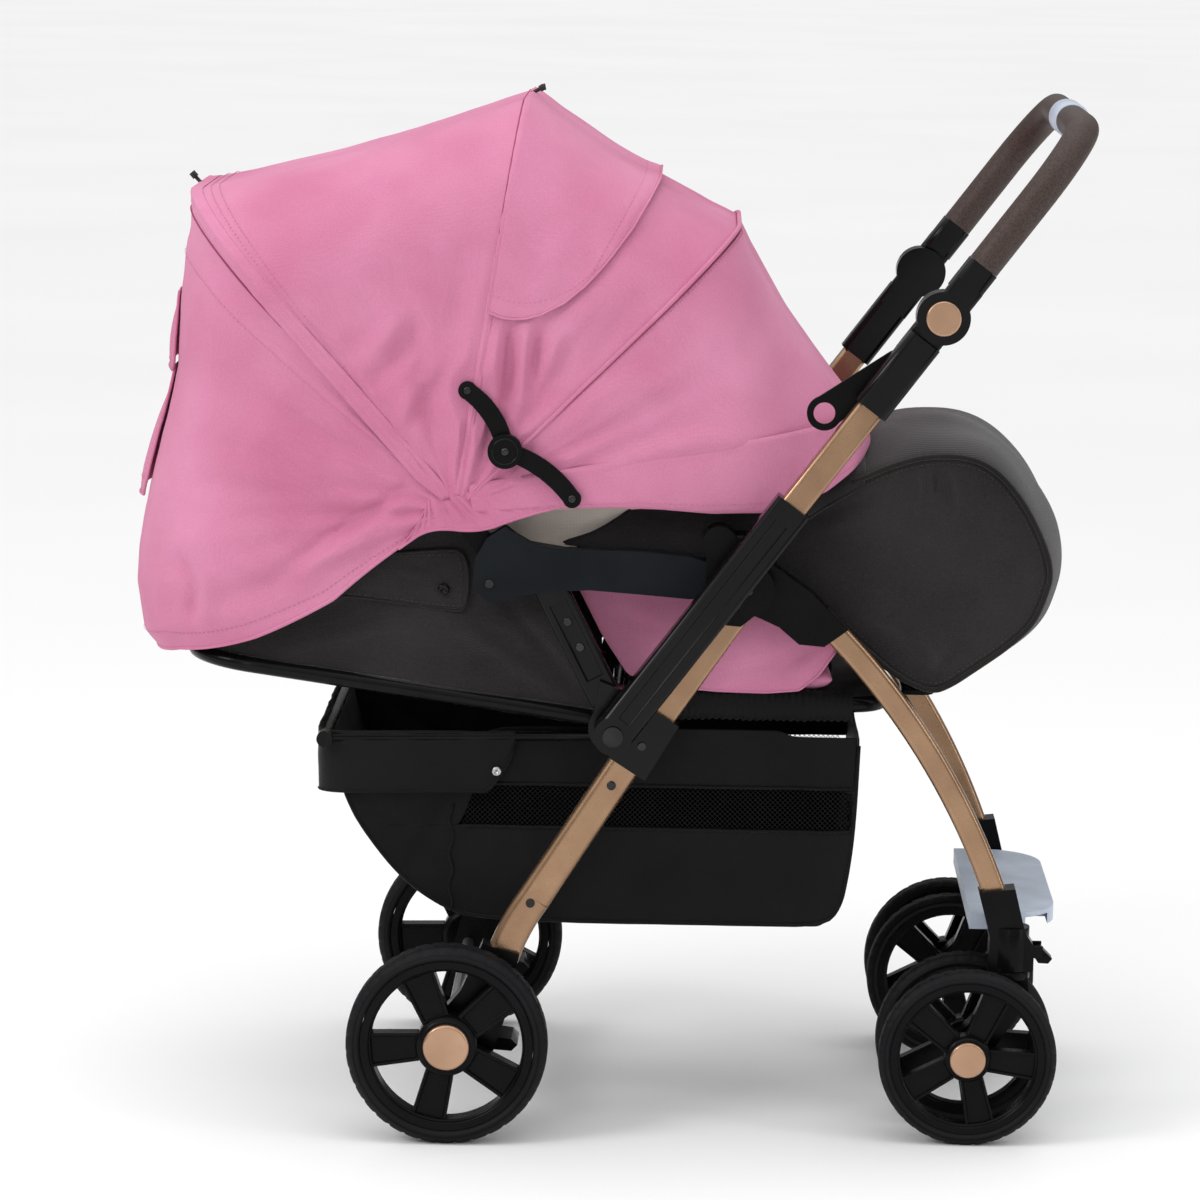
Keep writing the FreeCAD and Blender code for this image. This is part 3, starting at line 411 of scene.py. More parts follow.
def stitches(path, length=3.4, gap=1.8, radius=0.45):
    """A row of sewing stitches along a path, as small spindles."""
    parts = []
    marks = spaced(path, length + gap)
    for a, b in zip(marks, marks[1:]):
        way = (b - a).normalized()
        side = way.orthogonal().normalized() * radius * MM
        up = way.cross(side.normalized()) * radius * MM
        end = a + way * length * MM
        middle = (a + end) / 2
        ring = [middle + side, middle + up, middle - side, middle - up]
        points = [a] + ring + [end]
        faces = [(0, 1, 2), (0, 2, 3), (0, 3, 4), (0, 4, 1), (5, 2, 1), (5, 3, 2), (5, 4, 3), (5, 1, 4)]
        parts.append((points, faces))
    return joined(parts)


def seam_line(name, path, material, body=None, slot=None):
    """A row of stitches as a piece."""
    return piece(name, *stitches(path), material, body, slot)


def smooth_line(points, rounds=2):
    """Rounds the corners of a line by cutting them."""
    line = [Vector(p) for p in points]
    for _ in range(rounds):
        cut = [line[0]]
        for a, b in zip(line, line[1:]):
            cut += [a.lerp(b, 0.25), a.lerp(b, 0.75)]
        line = cut + [line[-1]]
    return line


def revolve(profile, steps, change=None):
    """A ring about Y through a closed profile of (y, radius) in millimetres."""
    points = []
    for i in range(steps):
        a = 2 * math.pi * i / steps
        for j, (y, r) in enumerate(profile):
            if change:
                r += change(i, j)
            points.append(Vector((r * math.cos(a), y, r * math.sin(a))))
    return points, quads(steps, len(profile), True, True)


def button(name, profile, steps, spot, sign, material, body=None, slot=None):
    """A small turned part with its face away from the middle plane, at a spot (x, y, z) of one side."""
    points, faces = revolve(profile, steps)
    centre = at(spot[0], sign * spot[1], spot[2])
    placed = [centre + Vector((p.x, p.y * sign, p.z)) * MM for p in points]
    return piece(name, placed, faces, material, body, slot)


def step_in(low_edge, high_edge, value):
    """A smooth step from 0 at one edge to 1 at the other."""
    t = min(1.0, max(0.0, (value - low_edge) / (high_edge - low_edge)))
    return t * t * (3 - 2 * t)


def height_at(line, x):
    """Height of a line of (x, z) points at an x."""
    for (a, u), (b, w) in zip(line, line[1:]):
        if x <= b:
            return u + (w - u) * max(0.0, x - a) / (b - a)
    return line[-1][1]


def near_line(x, z, start, end):
    """Distance from a side-view point to a line, and how far along it is."""
    dx = end[0] - start[0]
    dz = end[1] - start[1]
    t = ((x - start[0]) * dx + (z - start[1]) * dz) / (dx * dx + dz * dz)
    c = min(1.0, max(0.0, t))
    return math.hypot(x - start[0] - c * dx, z - start[1] - c * dz), c


def fold_height(folds, x, z):
    """Height of the cloth's folds at a side-view point. A fold is (start, end, width, height)."""
    total = 0.0
    for start, end, width, height in folds:
        distance, t = near_line(x, z, start, end)
        total += height * math.exp(-(distance / width) ** 2) * (0.35 + 0.65 * math.sin(math.pi * t))
    return total


def ripple(x, y, z, size, seed=0.0):
    """Smooth noise from -1 to 1 with features of about a size."""
    return noise.noise(Vector((x / size + seed, y / size - seed, z / size + 3.1 * seed)))


# ---- wheels --------------------------------------------------------------------------------

TREAD_STEPS = 216
SPOKES = 5
SPOKE_CHANNEL = 3.2


def tyre_mesh(radius, width, bed):
    """A tyre with two grooves round its crown and lugs on its shoulders."""
    h = width / 2
    crown = 0.27 * width
    groove = 0.11 * width
    half = [(0.0, radius), (groove - 1.2, radius), (groove - 0.8, radius - 1.3), (groove + 0.8, radius - 1.3)]
    half += [(groove + 1.2, radius), (crown, radius - 0.2), (h * 0.72, radius - 0.09 * width)]
    half += [(h * 0.88, radius - 0.19 * width), (h * 0.97, radius - 0.32 * width), (h, (radius + bed) / 2)]
    half += [(h * 0.98, bed + 3.0), (h * 0.94, bed + 1.6), (h * 0.9, bed + 1.4), (h * 0.86, bed)]
    profile = half + [(-y, r) for y, r in reversed(half[1:])]
    shoulders = {5, 6, 7}
    last = len(profile)
    shoulders |= {last - k for k in shoulders}

    def lug(i, j):
        return -1.5 if j in shoulders and i % 6 == (0 if j < last / 2 else 3) else 0.0

    return revolve(profile, TREAD_STEPS, lug)


def spoke_mesh(inner, outer, width, depth, channel, angle):
    """A spoke with a sunk channel on both faces."""
    work = bmesh.new()
    for x, w in ((inner, width * 0.9), (outer, width * 1.12)):
        for y in (-depth / 2, depth / 2):
            for z in (-w / 2, w / 2):
                work.verts.new((x, y, z))
    work.verts.ensure_lookup_table()
    corners = [(0, 1, 3, 2), (4, 6, 7, 5), (0, 4, 5, 1), (2, 3, 7, 6), (0, 2, 6, 4), (1, 5, 7, 3)]
    faces = [work.faces.new([work.verts[i] for i in c]) for c in corners]
    bmesh.ops.recalc_face_normals(work, faces=work.faces)
    for face in (faces[2], faces[3]):
        bmesh.ops.inset_individual(work, faces=[face], thickness=width * 0.14, depth=0.0)
        bmesh.ops.inset_individual(work, faces=[face], thickness=width * 0.04, depth=-channel)
    turn = Matrix.Rotation(-math.radians(angle), 4, "Y")
    points = [turn @ v.co for v in work.verts]
    made = [tuple(v.index for v in f.verts) for f in work.faces]
    work.free()
    return points, made


def mirrored(half):
    """A profile of (y, radius) followed by its mirror image."""
    return half + [(-y, r) for y, r in reversed(half)]


def rim_mesh(bed, opening, width, hub, bore, cap, spoke_width, start):
    """A moulded rim: outer band with lips, hub with a ring round its cap, five spokes."""
    h = width / 2
    band = [(-h, bed - 0.3), (-h, opening + 3.4), (-h + 1.0, opening + 2.2), (-h + 2.6, opening + 2.0)]
    band += [(-h + 4.0, opening)]
    e = h + 2.0
    core = [(-e, bore), (-e, cap - 1.0), (-e - 0.9, cap + 1.0), (-e - 0.9, cap + 2.6), (-e + 0.6, cap + 4.2)]
    core += [(-e + 1.2, hub - 1.0), (-e + 3.0, hub)]
    parts = [revolve(mirrored(band), 120), revolve(mirrored(core), 72)]
    for i in range(SPOKES):
        angle = start + 360 / SPOKES * i
        parts.append(spoke_mesh(hub - 3, opening + 2.5, spoke_width, width * 0.62, SPOKE_CHANNEL, angle))
    return joined(parts)


def place(mesh, x, y, z):
    """Points in metres and faces of a mesh that is given in millimetres round a spot."""
    points, faces = mesh
    origin = at(x, y, z)
    return [origin + p * MM for p in points], faces


def centre_of(node):
    """Middle of a CAD node, in millimetres from the rear axle."""
    low_corner, high_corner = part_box(node)
    middle = (low_corner + high_corner) / 2
    return (middle.x - AXLE_X) / MM, middle.y / MM, middle.z / MM


def make_wheels():
    """Tyres with tread and moulded rims, at the middles of the CAD wheels."""
    rear = tyre_mesh(100.0, 34.0, 86.0), rim_mesh(86.0, 75.0, 30.0, 30.0, 6.2, 23.0, 31.0, 41.0), 0.7
    front = tyre_mesh(88.5, 25.0, 77.0), rim_mesh(77.0, 67.0, 22.0, 23.0, 4.2, 18.0, 25.0, 66.0), 0.6
    for side, _ in SIDES:
        wheels = [(rear, "rear_" + side, "rear_wheel_" + side, "rear_tyre_" + side, "rear_wheel_" + side)]
        for part in ("outer_" + side, "inner_" + side):
            wheels.append((front, "front_" + part, "front_" + part, "front_wheel_" + part, None))
        for (tyre, rim, edge), name, body, node, rim_node in wheels:
            spot = centre_of(node)
            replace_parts(piece("tread_" + name, *place(tyre, *spot), TYRE, body, "tyre"), node)
            made = bevelled(piece("rim_" + name, *place(rim, *spot), BLACK, body, "black_plastic"), edge)
            if rim_node:
                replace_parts(made, rim_node)


# ---- canopy --------------------------------------------------------------------------------

# The ribs are wide U's that turn about one hub: half their width, the radius of their bends, and where
# the cloth starts beside the hub. Each rib has its angle in degrees and its reach from the hub.
HUB_X = 2.0
HUB_Z = 627.0
HALF = 208.6
CORNER = 130.0
START = 8.0
RIBS = {"rear": (132.0, 404.0), "top": (81.0, 402.0), "front": (45.0, 385.0), "visor": (10.0, 411.0)}
RIB_BODIES = {"rear": "frame", "top": "canopy_top", "front": "canopy_front", "visor": "canopy_visor"}
RIB_BEFORE = {"top": "rear", "front": "top", "visor": "front"}
# The rear curtain's outline from the rear rib down, as angles and reaches.
BACK = [(132.0, 404.0), (145.4, 346.0), (155.5, 318.0), (168.3, 312.0), (183.3, 324.0), (189.4, 333.0)]
BACK += [(195.6, 342.0), (203.9, 349.0), (208.6, 341.0), (218.0, 322.0)]
# Run along the curtain's U from the hub, and the angle of its lower hem there.
HEM_ANGLES = [(0, 211.0), (20, 211.0), (58, 213.5), (146, 217.0), (233, 213.5), (320, 208.5), (409, 207.0)]
HEM_ANGLES += [(600, 206.0)]
# The line of the stay's two arms in the side view.
STAY = [(12.7, 746.3), (36.0, 722.0), (50.3, 688.2), (88.0, 670.0), (116.1, 642.2)]
# Share of a rib's U that is sewn, the same for the curtain's hem, and the thickness of the canopy's cloth.
SEWN = 0.985
HEM_SEWN = 0.97
CANOPY_CLOTH = 1.1
# How far from the middle the hub skirts may reach, so that they stay inside the stays.
SKIRT_LIMIT = 213.0


def u_length(radius):
    """Length of half a rib's U, from the hub end to the middle of its top."""
    return (radius - CORNER - START) + CORNER * math.pi / 2 + (HALF - CORNER)


def rib_point(angle, radius, s):
    """A point of a rib's U and the way out of the cloth there. s runs from -1 on the right to 1."""
    side = radius - CORNER - START
    arc = CORNER * math.pi / 2
    run = (1 - abs(s)) * u_length(radius)
    if run < side:
        reach, y, out, across = START + run, HALF, 0.0, 1.0
    elif run < side + arc:
        bend = (run - side) / CORNER
        out, across = math.sin(bend), math.cos(bend)
        reach = radius - CORNER + CORNER * out
        y = HALF - CORNER + CORNER * across
    else:
        reach, y, out, across = radius, HALF - CORNER - (run - side - arc), 1.0, 0.0
    a = math.radians(angle)
    sign = 1 if s > 0 else -1
    spot = at(HUB_X + reach * math.cos(a), sign * y, HUB_Z + reach * math.sin(a))
    return spot, Vector((out * math.cos(a), sign * across, out * math.sin(a)))


def span_point(first, second, s, v):
    """A point of the taut cloth between two ribs, at a share v of the way."""
    p, n = rib_point(*first, s)
    q, m = rib_point(*second, s)
    return p.lerp(q, v), n.lerp(m, v).normalized()


def hem_angle(s):
    """Angle of the curtain's lower hem along its U."""
    return height_at(HEM_ANGLES, (1 - abs(s)) * u_length(340.0))


def back_point(s, v):
    """A point of the rear curtain, from the rear rib down to the hem."""
    angle = BACK[0][0] + v * (hem_angle(s) - BACK[0][0])
    for first, second in zip(BACK, BACK[1:]):
        if angle <= second[0]:
            return span_point(first, second, s, (angle - first[0]) / (second[0] - first[0]))
    return span_point(BACK[-2], BACK[-1], s, 1.0)


def span_before(kind):
    """The taut surface between a rib and the one before it."""
    first, second = RIBS[RIB_BEFORE[kind]], RIBS[kind]
    return lambda s, v: span_point(first, second, s, v)


SURFACES = {"back": back_point, "top": span_before("top"), "front": span_before("front"),
            "visor": span_before("visor")}

# Folds of the cloth in the side view: start, end, width and height.
SIDE_FOLDS = {
    "top": [
        ((-22, 652), (-70, 770), 10, 2.6), ((-40, 655), (-120, 765), 12, -2.6), ((-12, 655), (-40, 812), 9, -2.2),
        ((-60, 672), (-165, 770), 10, 1.8), ((2, 660), (10, 800), 9, 2.2), ((-37, 803), (-74, 754), 9, -5.0),
        ((-52, 816), (-96, 764), 11, 3.4), ((-14, 756), (-42, 712), 8, -3.4), ((-8, 790), (-60, 700), 10, 2.6),
        ((-110, 770), (-60, 800), 18, -2.4), ((-30, 720), (20, 880), 15, -2.0), ((-150, 800), (-210, 870), 18, 1.6),
    ],
    "front": [
        ((56, 815), (51, 730), 6, -4.0), ((83, 815), (74, 745), 6, -3.6), ((70, 812), (64, 735), 6, 3.4),
        ((40, 806), (38, 726), 6, 3.0), ((100, 805), (92, 760), 7, 2.4),
        ((14, 655), (30, 800), 9, 2.4), ((26, 660), (52, 800), 8, -2.2), ((40, 668), (84, 812), 11, 2.2),
        ((30, 700), (70, 790), 8, -1.6), ((62, 690), (120, 800), 11, -1.8), ((24, 650), (96, 730), 7, 1.6),
        ((95, 790), (170, 870), 16, 1.4),
    ],
    "visor": [
        ((40, 648), (150, 700), 8, 1.6), ((34, 660), (120, 730), 8, -1.4), ((170, 690), (330, 705), 12, 1.4),
        ((120, 730), (230, 770), 22, 1.8), ((200, 720), (300, 800), 26, -1.6), ((60, 640), (200, 668), 7, -1.2),
    ],
    "back": [
        ((-40, 652), (-112, 603), 6, -4.0), ((-105, 608), (-170, 564), 9, -3.4), ((-52, 634), (-150, 560), 9, 3.2),
        ((-271, 572), (-254, 542), 6, -3.6), ((-256, 546), (-262, 505), 5, -3.6), ((-240, 560), (-245, 500), 9, 2.6),
        ((-235, 905), (-30, 650), 8, -2.6), ((-60, 640), (-190, 690), 16, 2.0), ((-90, 620), (-250, 650), 18, -2.0),
        ((-150, 560), (-290, 600), 22, 2.6), ((-60, 610), (-200, 560), 16, 1.8), ((-100, 585), (-260, 520), 14, -2.2),
        ((-215, 860), (-270, 640), 20, 2.4), ((-180, 800), (-240, 620), 22, -2.2), ((-30, 618), (-130, 560), 8, 1.6),
    ],
}


def cloth_rise(name, spot, out, v):
    """How far the cloth stands out from its taut shape, in millimetres."""
    x = (spot.x - AXLE_X) / MM
    z = spot.z / MM
    y = spot.y / MM
    sideways = abs(out.y)
    held = min(1.0, 8.0 * min(v, 1 - v))
    shift = 9.0 if y > 0 else 0.0
    rise = fold_height(SIDE_FOLDS[name], x + shift, z - shift) * sideways * 2.1
    rise += ripple(x, y, z, 70.0, 1.7) * 1.6 + ripple(x, y, z, 24.0, 5.1) * 0.6
    rise -= 7.0 * math.sin(math.pi * v) * (1 - sideways)
    reach = math.hypot(x - HUB_X, z - HUB_Z)
    turn = math.atan2(z - HUB_Z, x - HUB_X) % (2 * math.pi)
    spread_out = step_in(40.0, 120.0, reach) * (1 - step_in(200.0, 360.0, reach))
    rise += 5.0 * sideways * spread_out * noise.noise(Vector((turn * 8.5, reach / 210, shift)))
    if reach < 150:
        rise += 2.4 * math.sin(turn * 17 + 2 * ripple(x, y, z, 40.0)) * math.sin(math.pi * reach / 150)
    if sideways > 0.9:
        close = min(near_line(x, z, a, b)[0] for a, b in zip(STAY, STAY[1:]))
        rise = min(rise, 0.6 + 7.5 * step_in(14.0, 34.0, close))
        rise = max(rise, -1.6 - 7.0 * step_in(50.0, 120.0, reach) * step_in(0.06, 0.3, min(v, 1 - v)))
    groove = math.exp(-((v - 0.055) / 0.018) ** 2) if name == "back" else 0.0
    return rise * held - 3.2 * groove


def on_cloth(kind, s, v, lift=0.0):
    """A point of the folded cloth of the curtain or of a panel, lifted off it."""
    spot, out = SURFACES[kind](s, v)
    return spot + out * (lift + cloth_rise(kind, spot, out, v)) * MM


def curve_on(kind, v, lift, reach=SEWN, count=160):
    """A line across a canopy surface at a share v between its ribs."""
    return [on_cloth(kind, reach * (-1 + 2 * i / count), v, lift) for i in range(count + 1)]


def hang(obj, kind):
    """The curtain's parts ride on the frame; a panel's parts are handed to bend_round with its two ribs."""
    if kind == "back":
        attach(obj, "frame")
        return obj
    first = RIB_BEFORE[kind]
    return bend_round(obj, RIB_BODIES[first], RIB_BODIES[kind], RIBS[first][0], RIBS[kind][0], (HUB_X, HUB_Z))


def seam_strip(name, rib, width, rise, ahead, behind):
    """A raised channel sewn along a rib. The cloth before and after it is given as surfaces of (s, v)."""
    lines = []
    profile = [(-1.0, 0.5), (-0.85, 1.3), (-0.5, 1.5), (-0.22, rise), (0.0, rise + 0.7), (0.22, rise)]
    profile += [(0.5, 1.5), (0.85, 1.3), (1.0, 0.5)]
    count = 150
    for i in range(count + 1):
        s = -SEWN + 2 * SEWN * i / count
        middle, out = rib_point(*RIBS[rib], s)
        line = []
        for across, lift in profile:
            surface = ahead if across > 0 else behind
            length = max(1.0, (surface(s, 0.2)[0] - middle).length / 0.2 / MM)
            spot, normal = surface(s, min(0.4, abs(across) * width / length))
            pucker = (0.12 * rise + 0.1) * math.sin(i * 1.9 + across * 2) * (1 + ripple(i * 2.0, 0, 0, 9.0, across))
            line.append(spot + (normal + out).normalized() * (lift + pucker) * MM)
        lines.append(line)
    return thicken(grid(name, lines, PINK, RIB_BODIES[rib], PINK_SLOT), 0.5, -1, 1)


def make_canopy():
    """The rear curtain and the three panels between the ribs."""
    for kind, name, node, rows, flat in (
        ("back", "canopy_back", "canopy_rear", 64, (1.02, 0.62)),
        ("top", "canopy_top", "canopy_panel_top", 44, (1.1, 0.36)),
        ("front", "canopy_front", "canopy_panel_front", 44, (1.1, 0.26)),
        ("visor", "canopy_visor", "canopy_panel_visor", 44, (1.11, 0.25)),
    ):
        lines = field(rows, 200, lambda v, across: on_cloth(kind, -1 + 2 * across, v))
        panel = hang(grid(name, lines, PINK, slot=PINK_SLOT), kind)
        cloth_sheet(panel, flat, CANOPY_CLOTH)
        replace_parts(panel, node)


# Share of the way from the top rib to the front rib, and how far the flap's edge starts from the hub there.
FLAP_REACH = [(0.0, 190), (0.1, 191), (0.2, 195), (0.3, 202), (0.4, 214), (0.5, 234), (0.57, 262), (0.61, 298)]
FLAP_REACH += [(0.625, 336)]


def make_top_flap():
    """The loose flap that lies over the front panel, from the top rib to its curved hem."""
    def point(down, across):
        v = FLAP_REACH[-1][0] * down
        radius = RIBS["top"][1] + (RIBS["front"][1] - RIBS["top"][1]) * v
        reach = 1 - height_at(FLAP_REACH, v) / u_length(radius)
        s = reach * (-1 + 2 * across)
        spot, out = SURFACES["front"](s, v)
        edge = max(abs(s) / reach, down)
        lift = 2.6 + 2.2 * step_in(0.6, 1.0, edge) + 0.5 * ripple(s * 400, v * 200, 0, 60.0, 2.0)
        lift += cloth_rise("front", spot, out, v) * (1 - 0.5 * step_in(0.9, 1.0, edge))
        return spot + out * lift * MM

    lines = field(30, 120, point)
    flap = hang(grid("canopy_top_flap", lines, PINK, slot=PINK_SLOT), "front")
    cloth_sheet(flap, (0.88, 0.19), 1.3)
    hem = smooth_line(open_border(lines), 1)
    hang(piping("canopy_top_flap_hem", hem, 1.1, PINK, slot=PINK_SLOT), "front")
    seam = smooth_line(open_border(lines, 3), 1)
    hang(seam_line("canopy_top_flap_seam", seam, THREAD_PINK, slot=PINK_SLOT), "front")


# Name, first and last angle round the hub, lift at its fullest and half width.
WINDOW_FLAPS = (("upper", 144.5, 157.5, 14.0, 112), ("lower", 156.0, 181.0, 15.0, 106))


def make_back_flaps():
    """Two rolled-down window covers on the rear curtain, one over the other."""
    for name, first, last, full, half in WINDOW_FLAPS:
        def point(t, along):
            across = -1 + 2 * along
            width = half - 10 * (1 - t) ** 3 - 24 * (1 - math.sqrt(1 - step_in(0.8, 1.0, t) ** 2 * 0.96))
            s = across * width / u_length(330.0) + 1e-6
            v = (first + (last - first) * t - BACK[0][0]) / (hem_angle(s) - BACK[0][0])
            lift = 2.5 + full * math.sin(2.1 * t) ** 1.2 * (1 - 0.88 * abs(across) ** 2.6)
            return on_cloth("back", s, v, lift + math.sin(3.2 * math.pi * along + 1.0) * t)

        lines = field(16, 44, point)
        flap = grid("canopy_window_" + name, lines, PINK, "frame", PINK_SLOT)
        cloth_sheet(flap, (0.225, None, 1.03), 1.6)
        hem = smooth_line(open_border(lines), 1)
        piping("canopy_window_hem_" + name, hem, 1.5, PINK, "frame", PINK_SLOT)
        seam = smooth_line(open_border(lines, 2), 1)
        seam_line("canopy_window_seam_" + name, seam, THREAD_PINK, "frame", PINK_SLOT)


# Run along the visor rib from the hub, and how far the hem hangs below it.
VISOR_DROP = [(0, 4), (60, 10), (105, 15), (150, 22), (192, 30), (240, 42), (298, 50), (357, 42), (400, 30)]
VISOR_DROP += [(425, 24), (450, 17), (480, 12), (560, 9)]


def make_visor_hem():
    """The visor's edge: cloth folded round the last rib, deeper at the front than at the sides."""
    angle, radius = RIBS["visor"]
    up = Vector((-math.sin(math.radians(angle)), 0, math.cos(math.radians(angle))))
    lines = []
    for k in range(221):
        s = SEWN * (-1 + k / 110)
        drop = height_at(VISOR_DROP, (1 - abs(s)) * u_length(radius))
        spot, out = rib_point(angle, radius, s)
        sway = 1.2 * ripple(spot.x * 1000, spot.y * 1000, 0, 40.0, 2.0) * step_in(8.0, 26.0, drop)
        profile = [(24, 0.9), (14, 1.8), (4, 2.2), (-drop * 0.4, 2.4 + sway), (-drop * 0.8, 2.0 + sway * 2)]
        profile += [(-drop, 0.2 + sway * 2), (-drop - 0.8, -2.2 + sway * 2), (-drop + 1.5, -4.6 + sway * 2)]
        profile += [(-drop * 0.4, -8.4), (4, -9.8), (16, -10.0), (24, -10.2)]
        lines.append([spot + (up * along + out * lift) * MM for along, lift in profile])
    hem = grid("visor_hem", lines, PINK, "canopy_visor", PINK_SLOT)
    cloth_sheet(hem, (1.12, None, 1.02), 0.7, 0, 0.98)
    for name, column in (("low", 4), ("high", 1)):
        line = [row[column] for row in lines]
        seam_line("visor_hem_seam_" + name, line, THREAD_PINK, "canopy_visor", PINK_SLOT)


def make_trim_lines(rows):
    """Stitching and dark cords of painted shade along creases across the canopy: name, surface, share between the
    ribs, lift and the radius of a shade cord (0 for stitching).
    """
    for name, kind, v, lift, radius in rows:
        line = curve_on(kind, v, lift)
        if radius:
            # A radius gives a dark cord of painted shade along a crease.
            hang(piping(name, line, radius, CREASE_SHADE_PINK, slot=PINK_SLOT), kind)
        else:
            hang(seam_line(name, line, THREAD_PINK, slot=PINK_SLOT), kind)


def make_canopy_trim():
    """Rib channels, stitching, dark cords of painted crease shade, the hems and the ties."""
    seam_strip("channel_rear", "rear", 10.5, 3.2, SURFACES["top"], lambda s, v: back_point(s, v * 0.35))
    seam_strip("channel_top", "top", 4.5, 1.6, SURFACES["front"], lambda s, v: SURFACES["top"](s, 1 - v))
    make_trim_lines((("seam_rear_a", "top", 0.055, 1.0, 0), ("seam_rear_b", "top", 0.08, 1.0, 0),
                     ("seam_back", "back", 0.1, 1.0, 0)))
    angle, radius = RIBS["front"]
    ridge = [rib_point(angle, radius + 2.2, SEWN * (-1 + i / 80))[0] for i in range(161)]
    piping("channel_front", ridge, 2.4, PINK, "canopy_front", PINK_SLOT, 10)
    # The crease rows lay dark pink cords of painted shade along the ribs; the seam rows are stitches.
    make_trim_lines((("seam_visor_a", "visor", 0.03, 0.7, 0), ("seam_visor_b", "visor", 0.9, 0.7, 0),
                     ("seam_visor_c", "visor", 0.955, 0.7, 0), ("crease_rear", "back", 0.026, 0.3, 0.9),
                     ("crease_shade_top", "top", 0.986, 0.3, 0.9), ("crease_front", "visor", 0.017, 0.3, 0.9)))
    make_visor_hem()
    piping("curtain_hem", curve_on("back", 0.999, -0.5, HEM_SEWN), 2.0, PINK, "frame", PINK_SLOT, 10)
    seam_line("curtain_seam", curve_on("back", 0.95, 0.5, HEM_SEWN), THREAD_PINK, "frame", PINK_SLOT)
    for name, lean in (("rear", 0.0), ("top", -1.8)):
        spot, out = rib_point(*RIBS[name], 0.001)
        way = (out + Vector((-out.z, 0, out.x)) * lean).normalized() * MM
        sag = out * MM
        stem = smooth_line([spot - way, spot + way * 4 + sag, spot + way * 9 + sag * 2])
        knot = [spot + way * 8 + sag * 1.5, spot + way * 11 + sag * 2.5, spot + way * 14 + sag * 2]
        mesh = joined([pipe(stem, 2.0, 8), pipe(knot, 3.4, 10)])
        piece("tie_" + name, *mesh, THREAD_DARK, RIB_BODIES[name], NYLON_SLOT)


def make_stay_details():
    """Rivets at the ends of the stays and a ring with a screw on the elbow knob."""
    dome = [(-1.0, 0.01), (-1.0, 4.2), (0.6, 4.2), (1.8, 3.0), (2.2, 0.01)]
    ring = [(-0.6, 11.2), (0.9, 11.6), (1.2, 12.4), (0.9, 13.2), (-0.6, 13.6)]
    for side, sign in SIDES:
        for name, (x, z), y, profile, material, body in (
            ("upper_rivet", STAY[0], 215.2, dome, DARK_STEEL, "stay_upper"),
            ("lower_rivet", STAY[-1], 220.3, dome, DARK_STEEL, "stay_lower"),
            ("knob_rivet", STAY[2], 225.0, dome, DARK_STEEL, "stay_lower"),
            ("knob_ring", STAY[2], 225.0, ring, GLOSS, "stay_lower"),
        ):
            button("stay_" + name + "_" + side, profile, 36, (x, y, z), sign, material, body, "black_plastic")


def make_hub_skirt():
    """Gathered cloth from the canopy's lower edges down over the hubs, split at the hub."""
    lower = smooth_line([(-53, 0, 589), (-23, 0, 611), (26, 0, 606), (65, 0, 622), (106, 0, 633)], 3)
    count = len(lower) * 2 - 1
    for side, sign in SIDES:
        def point(share, t):
            j = round(share * (count - 1))
            foot = lower[j // 2].lerp(lower[min(j // 2 + 1, len(lower) - 1)], j / 2 % 1)
            turn = math.radians(200 - 180 * share)
            wide = 26 + 66 * share ** 2
            p = Vector((HUB_X + wide * math.cos(turn), 0, HUB_Z + 4 + 20 * math.sin(turn))).lerp(foot, t)
            gather = 1.5 * math.sin(j * 1.15 + 2.0 * math.sin(j * 0.31)) * math.sin(math.pi * (0.05 + 0.9 * t))
            y = HALF - 1.6 + 3.6 * step_in(0.0, 0.4, t) + gather - 2.5 * t * share
            return at(p.x, sign * min(y, SKIRT_LIMIT), p.z)

        lines = field(count - 1, 14, point)
        half = count // 2
        for where, part, body in (("rear", lines[:half + 2], "frame"), ("front", lines[half - 1:], "canopy_visor")):
            name = where + "_" + side
            skirt = grid("canopy_skirt_" + name, part, PINK, body, PINK_SLOT)
            cloth_sheet(skirt, (0.1, None, 1.1), 1.2, 0)
            piping("canopy_skirt_hem_" + name, [line[-1] for line in part], 1.6, PINK, body, PINK_SLOT)


# Area lights: name, size, place, target and power.
SOFTBOXES = (
    ("softbox_top", (2.6, 2.0), (0.0, -0.4, 3.0), (0.0, 0.0, 0.5), 12),
    ("softbox_left", (1.1, 1.1), (-2.3, -1.7, 2.3), (0.0, 0.0, 0.6), 32),
    ("softbox_front", (0.5, 1.8), (-0.9, -3.4, 1.5), (0.0, 0.0, 0.5), 8),
    ("softbox_right", (0.4, 2.0), (2.7, -1.4, 1.2), (0.1, 0.0, 0.5), 12),
)
FLOOR_HALF = 60
CAMERA_AT = (0.0880, -4.8675, 1.2870)
CAMERA_PITCH, CAMERA_YAW, CAMERA_ROLL = 0.1587, 0.0195, 0.0144
CAMERA_LENS = 144.33


